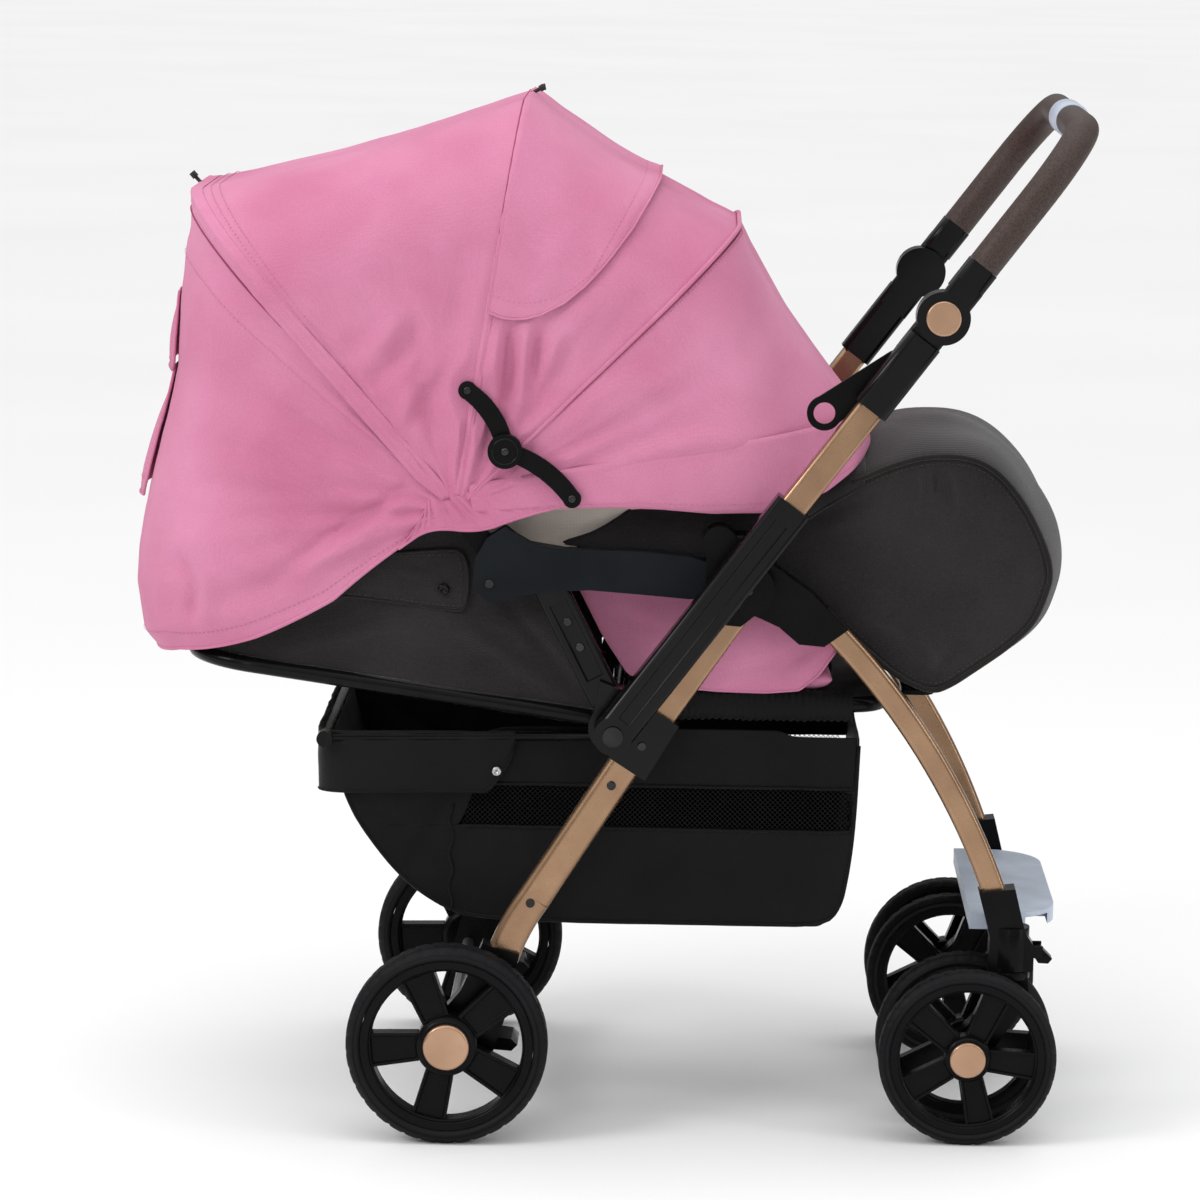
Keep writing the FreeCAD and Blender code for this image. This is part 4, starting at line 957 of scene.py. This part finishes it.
def make_lights():
    """White surroundings, darker below the horizon, and soft area lights."""
    world = bpy.data.worlds.new("studio")
    world.use_nodes = True
    tree = world.node_tree
    heights = tree.nodes.new("ShaderNodeSeparateXYZ")
    tree.links.new(tree.nodes.new("ShaderNodeTexCoord").outputs["Generated"], heights.inputs[0])
    sky = tree.nodes.new("ShaderNodeMapRange")
    sky.inputs["To Min"].default_value = 0.06
    sky.inputs["To Max"].default_value = 1.52
    tree.links.new(heights.outputs["Z"], sky.inputs["Value"])
    tree.nodes["Background"].inputs["Color"].default_value = (1, 1, 1, 1)
    tree.links.new(sky.outputs["Result"], tree.nodes["Background"].inputs["Strength"])
    bpy.context.scene.world = world
    for name, size, spot, target, power in SOFTBOXES:
        data = bpy.data.lights.new(name, "AREA")
        data.shape = "RECTANGLE"
        data.size, data.size_y = size
        data.energy = power
        lamp = bpy.data.objects.new(name, data)
        lamp.location = spot
        lamp.rotation_mode = "QUATERNION"
        lamp.rotation_quaternion = (Vector(target) - Vector(spot)).to_track_quat("-Z", "Y")
        bpy.context.scene.collection.objects.link(lamp)


def make_floor():
    """A plain pale floor."""
    shader = Shader("floor_paint", Roughness=0.7)
    shader.set("Base Color", shader.ramp(shader.noise(0.7), [(0.3, (0.88,) * 3), (0.7, (0.91,) * 3)]))
    corners = ((-1, -1), (1, -1), (1, 1), (-1, 1))
    points = [Vector((x * FLOOR_HALF, y * FLOOR_HALF, 0)) for x, y in corners]
    piece("floor", points, [(0, 1, 2, 3)], shader.material)


def make_camera():
    """The camera at the photograph's viewing angle."""
    pitch, yaw, roll = CAMERA_PITCH, CAMERA_YAW, CAMERA_ROLL
    ahead = Vector((-math.sin(yaw) * math.cos(pitch), math.cos(yaw) * math.cos(pitch), -math.sin(pitch)))
    right = Vector((math.cos(yaw), math.sin(yaw), 0))
    up = right.cross(ahead)
    across = right * math.cos(roll) + up * math.sin(roll)
    upright = up * math.cos(roll) - right * math.sin(roll)
    data = bpy.data.cameras.new("camera")
    data.lens = CAMERA_LENS
    data.sensor_width = 36.0
    camera = bpy.data.objects.new("camera", data)
    bpy.context.scene.collection.objects.link(camera)
    turn = Matrix((across, upright, -ahead)).transposed().to_4x4()
    camera.matrix_world = Matrix.Translation(CAMERA_AT) @ turn
    bpy.context.scene.camera = camera
    bpy.context.scene.view_settings.view_transform = "Standard"


# ---- padded and sewn pieces ----------------------------------------------------------------

# The backrest's pivot, and the bodies, angles and centre that bend_round is given for cloth between the frame and the
# backrest.
PIVOT_X = 160.0
PIVOT_Z = 415.0
RECLINE = ("frame", "backrest", 118.0, 172.0, (PIVOT_X, PIVOT_Z), True)
CLOTH = {"quality": 6, "mass": 0.25, "tension_stiffness": 14, "compression_stiffness": 6, "shear_stiffness": 4,
         "bending_stiffness": 0.35, "use_pressure": True, "vertex_group_mass": "sewn"}
PUFF_FRAMES = 20
WALL_COLUMNS = 70


def puffed(obj, held, pressure, limit):
    """Blows up a closed skin as cloth. held gives each point's share of being sewn down, 0 to 1."""
    group = obj.vertex_groups.new(name="sewn")
    rest = [v.co.copy() for v in obj.data.vertices]
    for index, spot in enumerate(rest):
        share = held(spot)
        if share > 0:
            group.add([index], share, "REPLACE")
    cloth = obj.modifiers.new("cloth", "CLOTH")
    for key, value in CLOTH.items():
        setattr(cloth.settings, key, value)
    cloth.settings.uniform_pressure_force = pressure
    cloth.settings.effector_weights.gravity = 0
    cloth.point_cache.frame_start = 1
    cloth.point_cache.frame_end = PUFF_FRAMES
    scene = bpy.context.scene
    for step in range(1, PUFF_FRAMES + 1):
        scene.frame_set(step)
    moved = obj.evaluated_get(bpy.context.evaluated_depsgraph_get()).data
    final = []
    for before, vertex in zip(rest, moved.vertices):
        shift = vertex.co - before
        length = shift.length
        final.append(before + shift * (min(1.0, limit * MM / length) if length > 0 else 0))
    obj.modifiers.remove(cloth)
    scene.frame_set(1)
    for vertex, spot in zip(obj.data.vertices, final):
        vertex.co = spot
    return obj


def walls_of(name, top, bottom, offset, material, slot, folds, columns=WALL_COLUMNS, rows=26, sway=2.0):
    """Upright cloth on both sides between an upper and a lower line, given as (x, z) points."""
    made = []
    first, last = top[0][0], top[-1][0]
    for side, sign in SIDES:
        def point(up, along):
            x = first + (last - first) * along
            z = height_at(bottom, x) + (height_at(top, x) - height_at(bottom, x)) * up
            y = offset(x, z) + fold_height(folds, x, z) + sway * ripple(x, sign * 90, z, 55.0, 4.0)
            return at(x, sign * y, z)

        made.append(grid(name + "_" + side, field(rows, columns, point), material, slot=slot))
    return made


def cushion_mesh(length, width, thick, columns, rows, tufts=()):
    """A closed pillow: two crowned faces that meet in a seam, with sewn channels across at tufts."""
    points = []
    for face in (1, -1):
        for i in range(rows + 1):
            for j in range(columns + 1):
                u = -1 + 2 * j / columns
                v = -1 + 2 * i / rows
                pull = 1 - 0.02 * (1 - abs(u) ** 3) * abs(v) ** 6
                side = 1 - 0.03 * (1 - abs(v) ** 3) * abs(u) ** 6
                x = u * length / 2 * side
                crown = (1 - abs(u) ** 8) ** 0.5 * (1 - abs(v) ** 8) ** 0.5
                z = face * thick / 2 * crown
                for t in tufts:
                    z -= face * thick * 0.22 * math.exp(-((x - t) / 5.0) ** 2) * crown
                points.append((x, v * width / 2 * pull, z))
    count = (rows + 1) * (columns + 1)
    faces = quads(rows + 1, columns + 1)
    faces += [tuple(reversed([i + count for i in f])) for f in faces]
    return points, faces


def welded(obj, distance=0.05):
    """Merges points that meet, so that a skin is closed."""
    work = bmesh.new()
    work.from_mesh(obj.data)
    bmesh.ops.remove_doubles(work, verts=work.verts, dist=distance * MM)
    bmesh.ops.recalc_face_normals(work, faces=work.faces)
    work.to_mesh(obj.data)
    work.free()
    obj.data.polygons.foreach_set("use_smooth", [True] * len(obj.data.polygons))
    return obj


def make_cushion(name, origin, turn, size, tufts, material, body, slot, node):
    """A padded cushion with piping round its seam and sewn channels across."""
    length, width, thick = size
    points, faces = cushion_mesh(length, width, thick, 60, 54, tufts)
    matrix = Matrix.Rotation(-math.radians(turn), 3, "Y")

    def placed(x, y, z):
        return origin + matrix @ Vector((x, y, z)) * MM

    pad = welded(piece(name, [placed(*p) for p in points], faces, material, slot=slot))
    inverse = matrix.transposed()

    def held(spot):
        x, y, z = inverse @ (spot - origin) / MM
        return 1.0 if abs(z) < thick * 0.12 or any(abs(x - t) < 4.0 for t in tufts) else 0.0

    puffed(pad, held, 3.0, 7.0)
    sub = pad.modifiers.new("smooth", "SUBSURF")
    sub.levels = sub.render_levels = 1
    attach(pad, body)
    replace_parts(pad, node)
    rim = []
    for k in range(160):
        a = 2 * math.pi * k / 160
        u, v = (math.copysign(abs(part) ** 0.25, part) for part in (math.cos(a), math.sin(a)))
        rim.append(placed(u * length / 2 * 0.985, v * width / 2 * 0.985, 0))
    piping(name + "_piping", rim, 2.0, GREY_TRIM, body, slot, 8, True)
    for number, t in enumerate(tufts, 1):
        line = []
        for k in range(61):
            v = (-1 + 2 * k / 60) * 0.93
            z = thick / 2 * (1 - abs(v) ** 8) ** 0.5 - thick * 0.2
            line.append(placed(t, v * width / 2, z + 0.5))
        seam_line(name + "_stitch_" + str(number), line, THREAD_DARK, body, slot)


# Upper and lower line and the folds of each piece of upright cloth, in the side view.
WING_TOP = [(124, 548), (170, 556), (230, 556), (266, 541), (312, 541), (345, 538), (378, 518)]
WING_LOW = [(124, 545), (147, 500), (173, 460), (205, 448), (260, 444), (310, 443), (343, 446), (362, 462)]
WING_LOW += [(378, 486)]
WING_FOLDS = [((150, 520), (230, 500), 7, -1.6), ((190, 470), (300, 510), 12, 1.8),
              ((230, 452), (372, 488), 9, -2.0), ((330, 452), (376, 500), 7, 1.8),
              ((300, 530), (360, 470), 12, -1.4), ((170, 545), (240, 470), 14, 1.2)]
LINING_TOP = [(28, 606), (60, 618), (110, 628), (150, 636), (205, 640)]
LINING_LOW = [(28, 570), (60, 578), (88, 582), (113, 584), (150, 598), (205, 628)]
LINING_FOLDS = [((60, 600), (190, 615), 9, -1.6), ((90, 590), (150, 632), 10, 1.5)]
WALL_TOP = [(-250, 530), (-240, 536), (-160, 578), (-80, 604), (-20, 612), (30, 600), (60, 572), (94, 530)]
WALL_TOP += [(140, 462)]
WALL_LOW = [(-250, 477), (-240, 476), (140, 424)]
WALL_FOLDS = [((-40, 500), (100, 520), 12, 5.0), ((-200, 500), (-60, 545), 13, -4.6),
              ((-60, 470), (90, 478), 10, -4.6), ((-10, 520), (110, 440), 9, 4.4),
              ((-120, 560), (20, 560), 11, 3.4), ((-230, 490), (-120, 540), 9, 3.8),
              ((40, 545), (120, 450), 8, -4.0), ((-90, 455), (60, 440), 7, 3.4), ((-170, 480), (-20, 520), 9, 3.4)]


# Where the seat tube runs on each side.
TUBE_Y = 150
TUBE_Z = 429


def make_seat_cloth():
    """Pink side wings, beige lining, and the black sling and floor round the seat tube."""
    def wing_side(x, z):
        return 159.5 - 2.5 * step_in(490.0, 440.0, z)

    for wing in walls_of("seat_wing", WING_TOP, WING_LOW, wing_side, PINK, PINK_SLOT, WING_FOLDS, sway=0.8):
        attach(wing, "frame")
        cloth_sheet(wing, (0.26, 0.12), 1.6, 0)
        piping(wing.name + "_hem", first_row(wing, WALL_COLUMNS), 1.6, PINK, "frame", PINK_SLOT)
    for lining in walls_of("side_lining", LINING_TOP, LINING_LOW, lambda x, z: 159.0, BEIGE, "beige_fabric",
                           LINING_FOLDS, 50, 18, 1.2):
        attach(lining, "frame")
        cloth_sheet(lining, (0.2, 0.06), 3.0, 0)

    length, around = 130, 20
    first, last = 186, 396
    for side, sign in SIDES:
        points = []
        for j in range(length + 1):
            x = first + (last - first) * j / length
            for k in range(around):
                t = 2 * math.pi * k / around
                gather = 1.0 * math.sin(j * 1.5 + 1.5 * math.sin(k * 0.9)) + 0.8 * ripple(x, k * 9, 0, 11.0)
                high = 15.5 + 1.5 * ripple(x, 0, 40, 40.0) + gather
                wide = 11.5 + gather * 0.6
                points.append(at(x, sign * (TUBE_Y + wide * math.cos(t)), TUBE_Z + high * math.sin(t)))
        faces = quads(length + 1, around, True)
        sleeve = piece("seat_sling_" + side, points, faces, NYLON, "frame", NYLON_SLOT)
        cloth_sheet(sleeve, (0.24, 0.11), 0.9, -1, 0.97, 0)

    def floor_point(along, across):
        x = 172 + (420 - 172) * along
        t = -1 + 2 * across
        sag = 5.5 * (1 - t ** 4) * (1 - ((x - 296) / 124) ** 6)
        return at(x, 143 * t, 436 - sag + 1.2 * ripple(x, t * 143, 0, 45.0))

    floor = grid("seat_floor", field(30, 40, floor_point), NYLON, "frame", NYLON_SLOT)
    cloth_sheet(floor, (0.25, 0.288), 1.0, -1, 0.98)


def make_seat():
    """Seat cushion and backrest mattress, and the cloth round them."""
    make_cushion("seat_cushion", at(279, 0, 456), 0.0, (196, 312, 34), (-50, 0, 50), PINK, "frame", PINK_SLOT,
                 "seat_liner")
    turn, along, out = 172.1, 232, 26
    c, s = math.cos(math.radians(turn)), math.sin(math.radians(turn))
    middle = at(PIVOT_X + along * c + out * s, 0, PIVOT_Z + along * s - out * c)
    make_cushion("back_mattress", middle, turn, (338, 312, 34), (-100, -20, 60), BEIGE, "backrest", "beige_fabric",
                 "back_pad")
    make_seat_cloth()


FLAP_SNAP = [(0.0, 0.01), (-2.5, 0.01), (-2.5, 3.2), (-1.8, 5.2), (0.0, 5.8), (2.0, 5.4), (2.4, 3.6), (1.7, 2.6)]
FLAP_SNAP += [(1.4, 0.01)]


def make_side_walls():
    """Grey cloth between the backrest tube and the canopy, with a button-down flap."""
    def wall_side(x, z):
        past = min(1.0, max(0.0, (-201.0 - x) / 60.0))
        return 175.5 + 1.5 * step_in(480.0, 560.0, z) - 60 * (1 - math.sqrt(1 - past * past))

    walls = walls_of("side_wall", WALL_TOP, WALL_LOW, wall_side, GREY, GREY_SLOT, WALL_FOLDS, 96, 34, 1.6)
    for wall, (_, sign) in zip(walls, SIDES):
        hem = first_row(wall, 96)
        bend_round(wall, *RECLINE)
        cloth_sheet(wall, (0.44, 0.14), 1.2, 0)
        bend_round(piping(wall.name + "_hem", hem, 3.0, GREY, slot=GREY_SLOT), *RECLINE)

        def point(t, u):
            round_end = 12 * (1 - math.sqrt(max(0.0, 1 - (2 * t - 1) ** 2))) * (0.6 + 0.4 * t)
            x = -110 + (124 - round_end) * u
            low_z = 536 - 12 * step_in(-110, 10, x)
            z = low_z + (578 + 6 * step_in(-90, 0, x) - low_z) * t
            y = wall_side(x, z) + 3.0 + 1.6 * math.sin(u * 7.0 + t * 2) + 1.2 * (1 - t)
            return at(x, sign * y, z)

        lines = field(14, 36, point)
        name = wall.name.replace("wall", "flap")
        flap = grid(name, lines, GREY, slot=GREY_SLOT)
        border = lines[0][:-1] + [line[-1] for line in lines] + list(reversed(lines[-1][:-1]))
        seam = lines[1][:-2] + [line[-3] for line in lines[1:-1]] + list(reversed(lines[-2][:-2]))
        outward = Vector((0, sign * 1.6 * MM, 0))
        sewn = [p + outward for p in smooth_line(seam, 1)]
        for part in (
            flap,
            piping(name + "_hem", smooth_line(border, 1), 1.3, GREY_TRIM, slot=GREY_SLOT),
            seam_line(name + "_seam", sewn, THREAD_DARK, slot=GREY_SLOT),
            button(name + "_snap", FLAP_SNAP, 28, (-10.3, 182.5, 545), sign, GLOSS, slot="black_gloss"),
        ):
            bend_round(part, *RECLINE)
        thicken(flap, 1.6, -1, 1)


# ---- footmuff and lap cover ----------------------------------------------------------------

# The side panel's seam, how far the band between the two panels stands out along it, and the panel's folds.
MUFF_SEAM = [(330, 634), (368, 646), (399, 656), (418, 665), (435, 672), (463, 680), (500, 681), (528, 671)]
MUFF_SEAM += [(551, 648), (569, 621), (585, 586), (589, 563), (584, 545), (574, 518), (550, 494), (515, 469)]
MUFF_SEAM += [(492, 453), (474, 446), (438, 462), (398, 498), (366, 523), (336, 543), (316, 563), (312, 600)]
MUFF_CROWN = [0, 8, 25, 27, 27, 26, 23, 22, 22, 22, 22, 20, 20, 20, 18, 13, 7, 3, 0, 0, 0, 0, 0, 0]
MUFF_FOLDS = [
    ((458, 672), (452, 628), 4, 3.0), ((472, 676), (474, 636), 4, -3.0), ((484, 674), (492, 630), 5, 2.4),
    ((440, 664), (430, 630), 5, -2.0), ((572, 560), (545, 575), 8, 2.0), ((430, 640), (520, 560), 26, 1.6),
    ((520, 480), (470, 520), 10, -2.2), ((560, 510), (505, 545), 12, 1.8), ((400, 520), (470, 480), 8, 2.4),
    ((470, 452), (500, 500), 8, -2.4), ((360, 560), (450, 530), 14, 1.6), ((350, 620), (420, 640), 7, -2.2),
    ((340, 600), (400, 620), 7, 2.0), ((495, 455), (455, 500), 7, 2.0), ((560, 640), (530, 610), 9, -1.4),
]
MUFF_HALF = 151.0
MUFF_MIDDLE = Vector((470.0, 0, 570.0))


def rounded_loop(points, values, rounds=3):
    """A closed outline with rounded corners, and a value carried along it."""
    loop = [(Vector((x, 0, z)), v) for (x, z), v in zip(points, values)]
    for _ in range(rounds):
        cut = []
        for (p, u), (q, w) in zip(loop, loop[1:] + loop[:1]):
            cut += [(p.lerp(q, 0.25), u * 0.75 + w * 0.25), (p.lerp(q, 0.75), u * 0.25 + w * 0.75)]
        loop = cut
    return loop


def muff_skin(loop, normals, mouth):
    """Points and faces of the muff: a crowned band, open at its mouth, and a side panel on each side."""
    count, rings, columns = len(loop), 22, 48
    points = []
    for j in range(columns + 1):
        t = -1 + 2 * j / columns
        for i, (p, crown) in enumerate(loop):
            lift = crown * (1 - abs(t) ** 2.6) ** 0.8
            lift += 0.07 * crown * ripple(p.x, t * 150, p.z, 60.0, 2.0) * (1 - t * t) * 3
            pucker = math.sin(i * 2.4) * math.exp(-((1 - abs(t)) / 0.08) ** 2) * 0.5
            spot = p + normals[i] * (lift + pucker)
            points.append(at(spot.x, MUFF_HALF * t, spot.z))
    faces = [f for f in quads(columns + 1, count, True) if not {f[0] % count, f[1] % count} <= mouth]
    for sign, ring in ((-1, 0), (1, columns)):
        start = len(points)
        for k in range(1, rings + 1):
            r = 1 - k / rings
            for p, _ in loop:
                spot = MUFF_MIDDLE + (p - MUFF_MIDDLE) * r
                bulge = 7.0 * (1 - r ** 3) + fold_height(MUFF_FOLDS, spot.x, spot.z) * 2.0 * min(1.0, 6 * (1 - r))
                bulge += 1.6 * ripple(spot.x, sign * 60, spot.z, 34.0) * (1 - r ** 4)
                bulge *= 1 - 0.75 * step_in(400.0, 330.0, spot.x)
                points.append(at(spot.x, sign * min(161.0, MUFF_HALF + bulge), spot.z))
        rows = [ring * count] + [start + k * count for k in range(rings)]
        for a, b in zip(rows, rows[1:]):
            faces += [(a + i, a + (i + 1) % count, b + (i + 1) % count, b + i) for i in range(count)]
    return points, faces


def make_footmuff():
    """A padded muff: two side panels, a crowned band between them, and piping along both seams."""
    loop = rounded_loop(MUFF_SEAM, MUFF_CROWN)
    count = len(loop)
    normals = []
    for i, (p, _) in enumerate(loop):
        way = loop[(i + 1) % count][0] - loop[i - 1][0]
        normal = Vector((way.z, 0, -way.x)).normalized()
        normals.append(normal if normal.dot(p - MUFF_MIDDLE) > 0 else -normal)
    mouth = {i for i, (p, _) in enumerate(loop) if p.x < 336 or (p.x < 392 and p.z > 620)}
    points, faces = muff_skin(loop, normals, mouth)
    muff = welded(piece("footmuff_shell", points, faces, GREY, slot=GREY_SLOT), 0.4)

    def held(spot):
        x, y, z = (spot.x - AXLE_X) / MM, abs(spot.y) / MM, spot.z / MM
        seam = min((Vector((x, 0, z)) - p).length for p, _ in loop[::4])
        return 1.0 if (abs(y - MUFF_HALF) < 3.0 and seam < 9.0) or x < 372 else 0.0

    puffed(muff, held, 2.0, 6.0)
    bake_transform(muff)
    thicken(muff, 3.0, -1, 1)
    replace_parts(muff, "footmuff")
    run = [i for i in range(count) if i not in mouth]
    for side, sign in SIDES:
        path = [loop[i][0] + normals[i] for i in run]
        path = [at(p.x, sign * (MUFF_HALF + 1.2), p.z) for p in path]
        cord = piping("footmuff_piping_" + side, path, 2.9, GREY_TRIM, slot=GREY_SLOT)
        inner = [loop[i][0] - normals[i] * 6 for i in run]
        sewn = [at(p.x, sign * (MUFF_HALF + 3.0), p.z) for p in inner]
        seam = seam_line("footmuff_seam_" + side, sewn, THREAD_DARK, slot=GREY_SLOT)
        for part in (cord, seam):
            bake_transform(part)


def make_board():
    """The leg rest's board under the muff, with round corners."""
    outline = []
    for turn, (x, y, reach) in enumerate(((467, 108, 12), (452, 114, 6), (452, -114, 6), (467, -108, 12))):
        for k in range(7):
            a = math.pi / 2 * (turn + k / 6)
            outline.append((x + reach * math.cos(a), y + reach * math.sin(a)))
    points = [at(x, y, z) for z in (436, 442) for x, y in outline]
    count = len(outline)
    faces = quads(2, count, True) + [tuple(range(count)), tuple(range(count, 2 * count))]
    board = piece("legrest_panel", points, faces, BLACK, "legrest", "black_plastic", False)
    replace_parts(bevelled(board, 1.2), "legrest_board")


# The lap cover's crown, its lower edge and its half width, from its rear edge forward.
LAP_CROWN = [(106, 634), (200, 648), (262, 655), (326, 658), (368, 664), (404, 680)]
LAP_LOW = [(106, 592), (150, 588), (242, 582), (268, 584), (326, 604), (360, 626), (404, 652)]
LAP_HALF = [(106, 177), (326, 177), (360, 160), (404, 152)]
LAP_FOLDS = [((190, 640), (330, 625), 8, 2.0), ((230, 650), (340, 650), 10, -2.2), ((170, 620), (300, 640), 8, -1.6),
             ((300, 620), (380, 650), 9, 2.0), ((260, 640), (390, 668), 9, 1.4)]


def make_lap_cover():
    """A cover from the muff back over the guard bar, with a hollow cut into its rear edge."""
    def point(along, across):
        t = -1 + 2 * across
        first = 106 + 110 * (1 - t * t) ** 0.5
        x = first + (404 - first) * along
        low_z, crown, half = (height_at(line, x) for line in (LAP_LOW, LAP_CROWN, LAP_HALF))
        z = low_z + (crown - low_z) * (1 - abs(t) ** 3.0) ** 0.6
        z += fold_height(LAP_FOLDS, x, z) * (0.4 + 0.6 * abs(t)) + 1.6 * ripple(x, t * half, 0, 45.0, 6.0)
        y = half * t * (1.35 - 0.35 * t * t)
        return at(x, max(-half, min(half, y)), z)

    lines = field(52, 72, point)
    cover = grid("lap_cover", lines, GREY, "frame", GREY_SLOT)
    cloth_sheet(cover, (0.42, 0.27), 2.6, 0, 0.98)
    border = smooth_line(open_border(lines[::-1]), 1)
    piping("lap_cover_hem", border, 1.9, GREY_TRIM, "frame", GREY_SLOT)


# ---- basket --------------------------------------------------------------------------------

# The basket's outline in the side view, from the rear rim down and up to the front rim.
BASKET = [(-124, 390), (-114, 352), (-107, 329), (-92, 299), (-52, 248), (-14, 221), (18, 209), (120, 206)]
BASKET += [(240, 204), (368, 205), (388, 221), (396, 262), (401, 308), (404, 398)]
BASKET_FLOOR = [p for p in BASKET if p[1] < 395]
BASKET_HALF = 155.0
BASKET_FOLDS = [
    ((20, 380), (-40, 260), 10, -2.4), ((-60, 320), (60, 230), 12, 2.2), ((150, 215), (300, 300), 16, 2.0),
    ((300, 380), (396, 300), 12, -2.4), ((360, 390), (380, 220), 9, 2.0), ((60, 380), (90, 215), 12, 1.8),
    ((200, 290), (330, 215), 14, -2.0), ((-90, 370), (-20, 330), 8, 2.0), ((-100, 340), (-40, 290), 9, -2.0),
]
# The net window runs from the lower cloth up to the rim's cloth, in front of NET_START.
NET_START, NET_END = 8, 397
NET_LOW, NET_HIGH = 301, 344
BASKET_SNAP = [(0.0, 0.01), (-2.0, 0.01), (-2.0, 3.0), (-1.4, 4.4), (0.0, 4.9), (1.8, 4.5), (2.2, 3.0)]
BASKET_SNAP += [(1.5, 2.2), (1.3, 0.01)]


def basket_side(x, z, sign, depth=0.0):
    """Where the basket's side cloth hangs, with its sag and wrinkles."""
    sag = 5.0 * math.sin(math.pi * min(1.0, max(0.0, (z - 205) / 190))) * step_in(-110.0, 0.0, x)
    y = BASKET_HALF - sag + fold_height(BASKET_FOLDS, x, z) + 1.2 * ripple(x, sign * 50, z, 38.0, 3.0)
    return at(x, sign * (y + depth), z)


def net_strands(sign, cell=5.0):
    """Crossing diagonal strands of the net window."""
    parts = []
    span = NET_HIGH - NET_LOW
    count = int((NET_END - NET_START + span) / cell)
    for lean in (1, -1):
        for k in range(count + 1):
            start = NET_START - (span if lean > 0 else 0) + k * cell
            spots = [(start + lean * span * i / 12, NET_LOW + span * i / 12) for i in range(13)]
            path = [basket_side(x, z, sign) for x, z in spots if NET_START <= x <= NET_END]
            if len(path) > 1:
                parts.append(pipe(path, 0.45, 4))
    return joined(parts)


def make_basket_sides(outline):
    """Side cloth below and above the net window, the net, its tapes and the seams."""
    for side, sign in SIDES:
        for part, x_start in (("lower", -92), ("upper", -124)):
            def point(up, along):
                x = x_start + (402 - x_start) * along
                low_z = height_at(BASKET_FLOOR, x) if x < 388 else max(221, 221 + (x - 388) * 6.7)
                high_z = 302
                if part == "upper":
                    high_z = 392 + 6 * step_in(-20, 80, x) + 6 * step_in(20, 50, x) * step_in(340, 322, x)
                    low_z = max(343 - 43 * step_in(24.0, 4.0, x), low_z)
                return basket_side(x, low_z + max(0.0, high_z - low_z) * up, sign)

            cloth = grid("basket_" + part + "_" + side, field(22, 90, point), NYLON, "frame", NYLON_SLOT)
            cloth_sheet(cloth, (0.53, None, 1.15), 1.0, 0)
        piece("basket_net_" + side, *net_strands(sign), NET, "frame", NYLON_SLOT)
        width = NET_END - NET_START
        lines = [("tape_" + name, 1.6, [basket_side(NET_START + width * k / 60, z, sign, 1.0) for k in range(61)])
                 for name, z in (("low", NET_LOW), ("high", NET_HIGH + 1))]
        seam = [basket_side(-2 + 2 * math.sin(k), 214 + 108 * k / 20, sign, 1.2) for k in range(21)]
        edge = [basket_side(p.x, max(p.z, 206), sign, 0.8) for p in outline if p.z < 392]
        for name, radius, line in lines + [("seam", 1.4, seam), ("edge", 1.8, edge)]:
            piping("basket_" + name + "_" + side, line, radius, NYLON, "frame", NYLON_SLOT)


def band_point(run, sign):
    """A point (x, y) of the rim band at a run along it from the middle of the rear."""
    if run < 140:
        return -136.0, sign * run
    if run < 171:
        a = (run - 140) / 31 * math.pi / 2
        return -136.0 + 24 * (1 - math.cos(a)), sign * (140 + 24 * math.sin(a))
    return -112.0 + (run - 171), sign * 165.0


def make_basket_band():
    """The deep rim band round the rear, with its hem and a snap on each side."""
    lines = []
    for k in range(141):
        t = -1 + 2 * k / 140
        run = abs(t) * 345
        x, y = band_point(run, 1 if t > 0 else -1)
        outward = Vector((-1, 0, 0)) if run < 140 else Vector((0, 1 if y > 0 else -1, 0))
        depth = 62 * math.sqrt(max(0.0, min(1.0, (346 - run) / 30)))
        line = []
        for i in range(15):
            z = 397 + 3 * step_in(100, 300, run) - depth * i / 14
            puff = 2.2 * math.sin(math.pi * i / 14) + 1.4 * ripple(x, y, z, 26.0, 9.0)
            line.append(at(x, y, z) + outward * (puff - 3 * i / 14) * MM)
        lines.append(line)
    band = grid("basket_band", lines, NYLON, "frame", NYLON_SLOT)
    cloth_sheet(band, (0.69, None, 1.06), 1.6, 0)
    piping("basket_band_hem", [line[-1] for line in lines], 1.5, NYLON, "frame", NYLON_SLOT)
    for side, sign in SIDES:
        button("basket_snap_" + side, BASKET_SNAP, 24, (43.4, 166.5, 360), sign, STEEL, "frame", "steel")


def make_basket():
    """Basket of black cloth with net windows and a deep rim band at the rear."""
    outline = smooth_line([(x, 0, z) for x, z in BASKET], 2)
    outline = [p / MM for p in spaced([p * MM for p in outline], 7.0)]
    lines = []
    for p in outline:
        low_part = p.z <= 230
        y = basket_side(p.x, max(p.z, 206), 1).y / MM
        line = []
        for j in range(45):
            t = -1 + 2 * j / 44
            slack = 3.0 * (1 - t ** 4) * (0.5 if p.z >= 230 else 1.0)
            wave = 1.6 * ripple(p.x, t * 150, p.z, 50.0, 8.0)
            x = p.x + (0 if low_part else wave - slack * 0.4)
            line.append(at(x, y * t, p.z - (slack + wave if low_part else 0)))
        lines.append(line)
    belly = grid("basket_belly", lines, NYLON, "frame", NYLON_SLOT)
    cloth_sheet(belly, (0.86, 0.31), 1.2)
    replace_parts(belly, "basket")
    make_basket_sides(outline)
    make_basket_band()


make_wheels()
make_canopy()
make_top_flap()
make_back_flaps()
make_canopy_trim()
make_hub_skirt()
make_stay_details()
make_seat()
make_side_walls()
make_footmuff()
make_board()
make_lap_cover()
make_basket()
dress_cad()
make_lights()
make_floor()
make_camera()
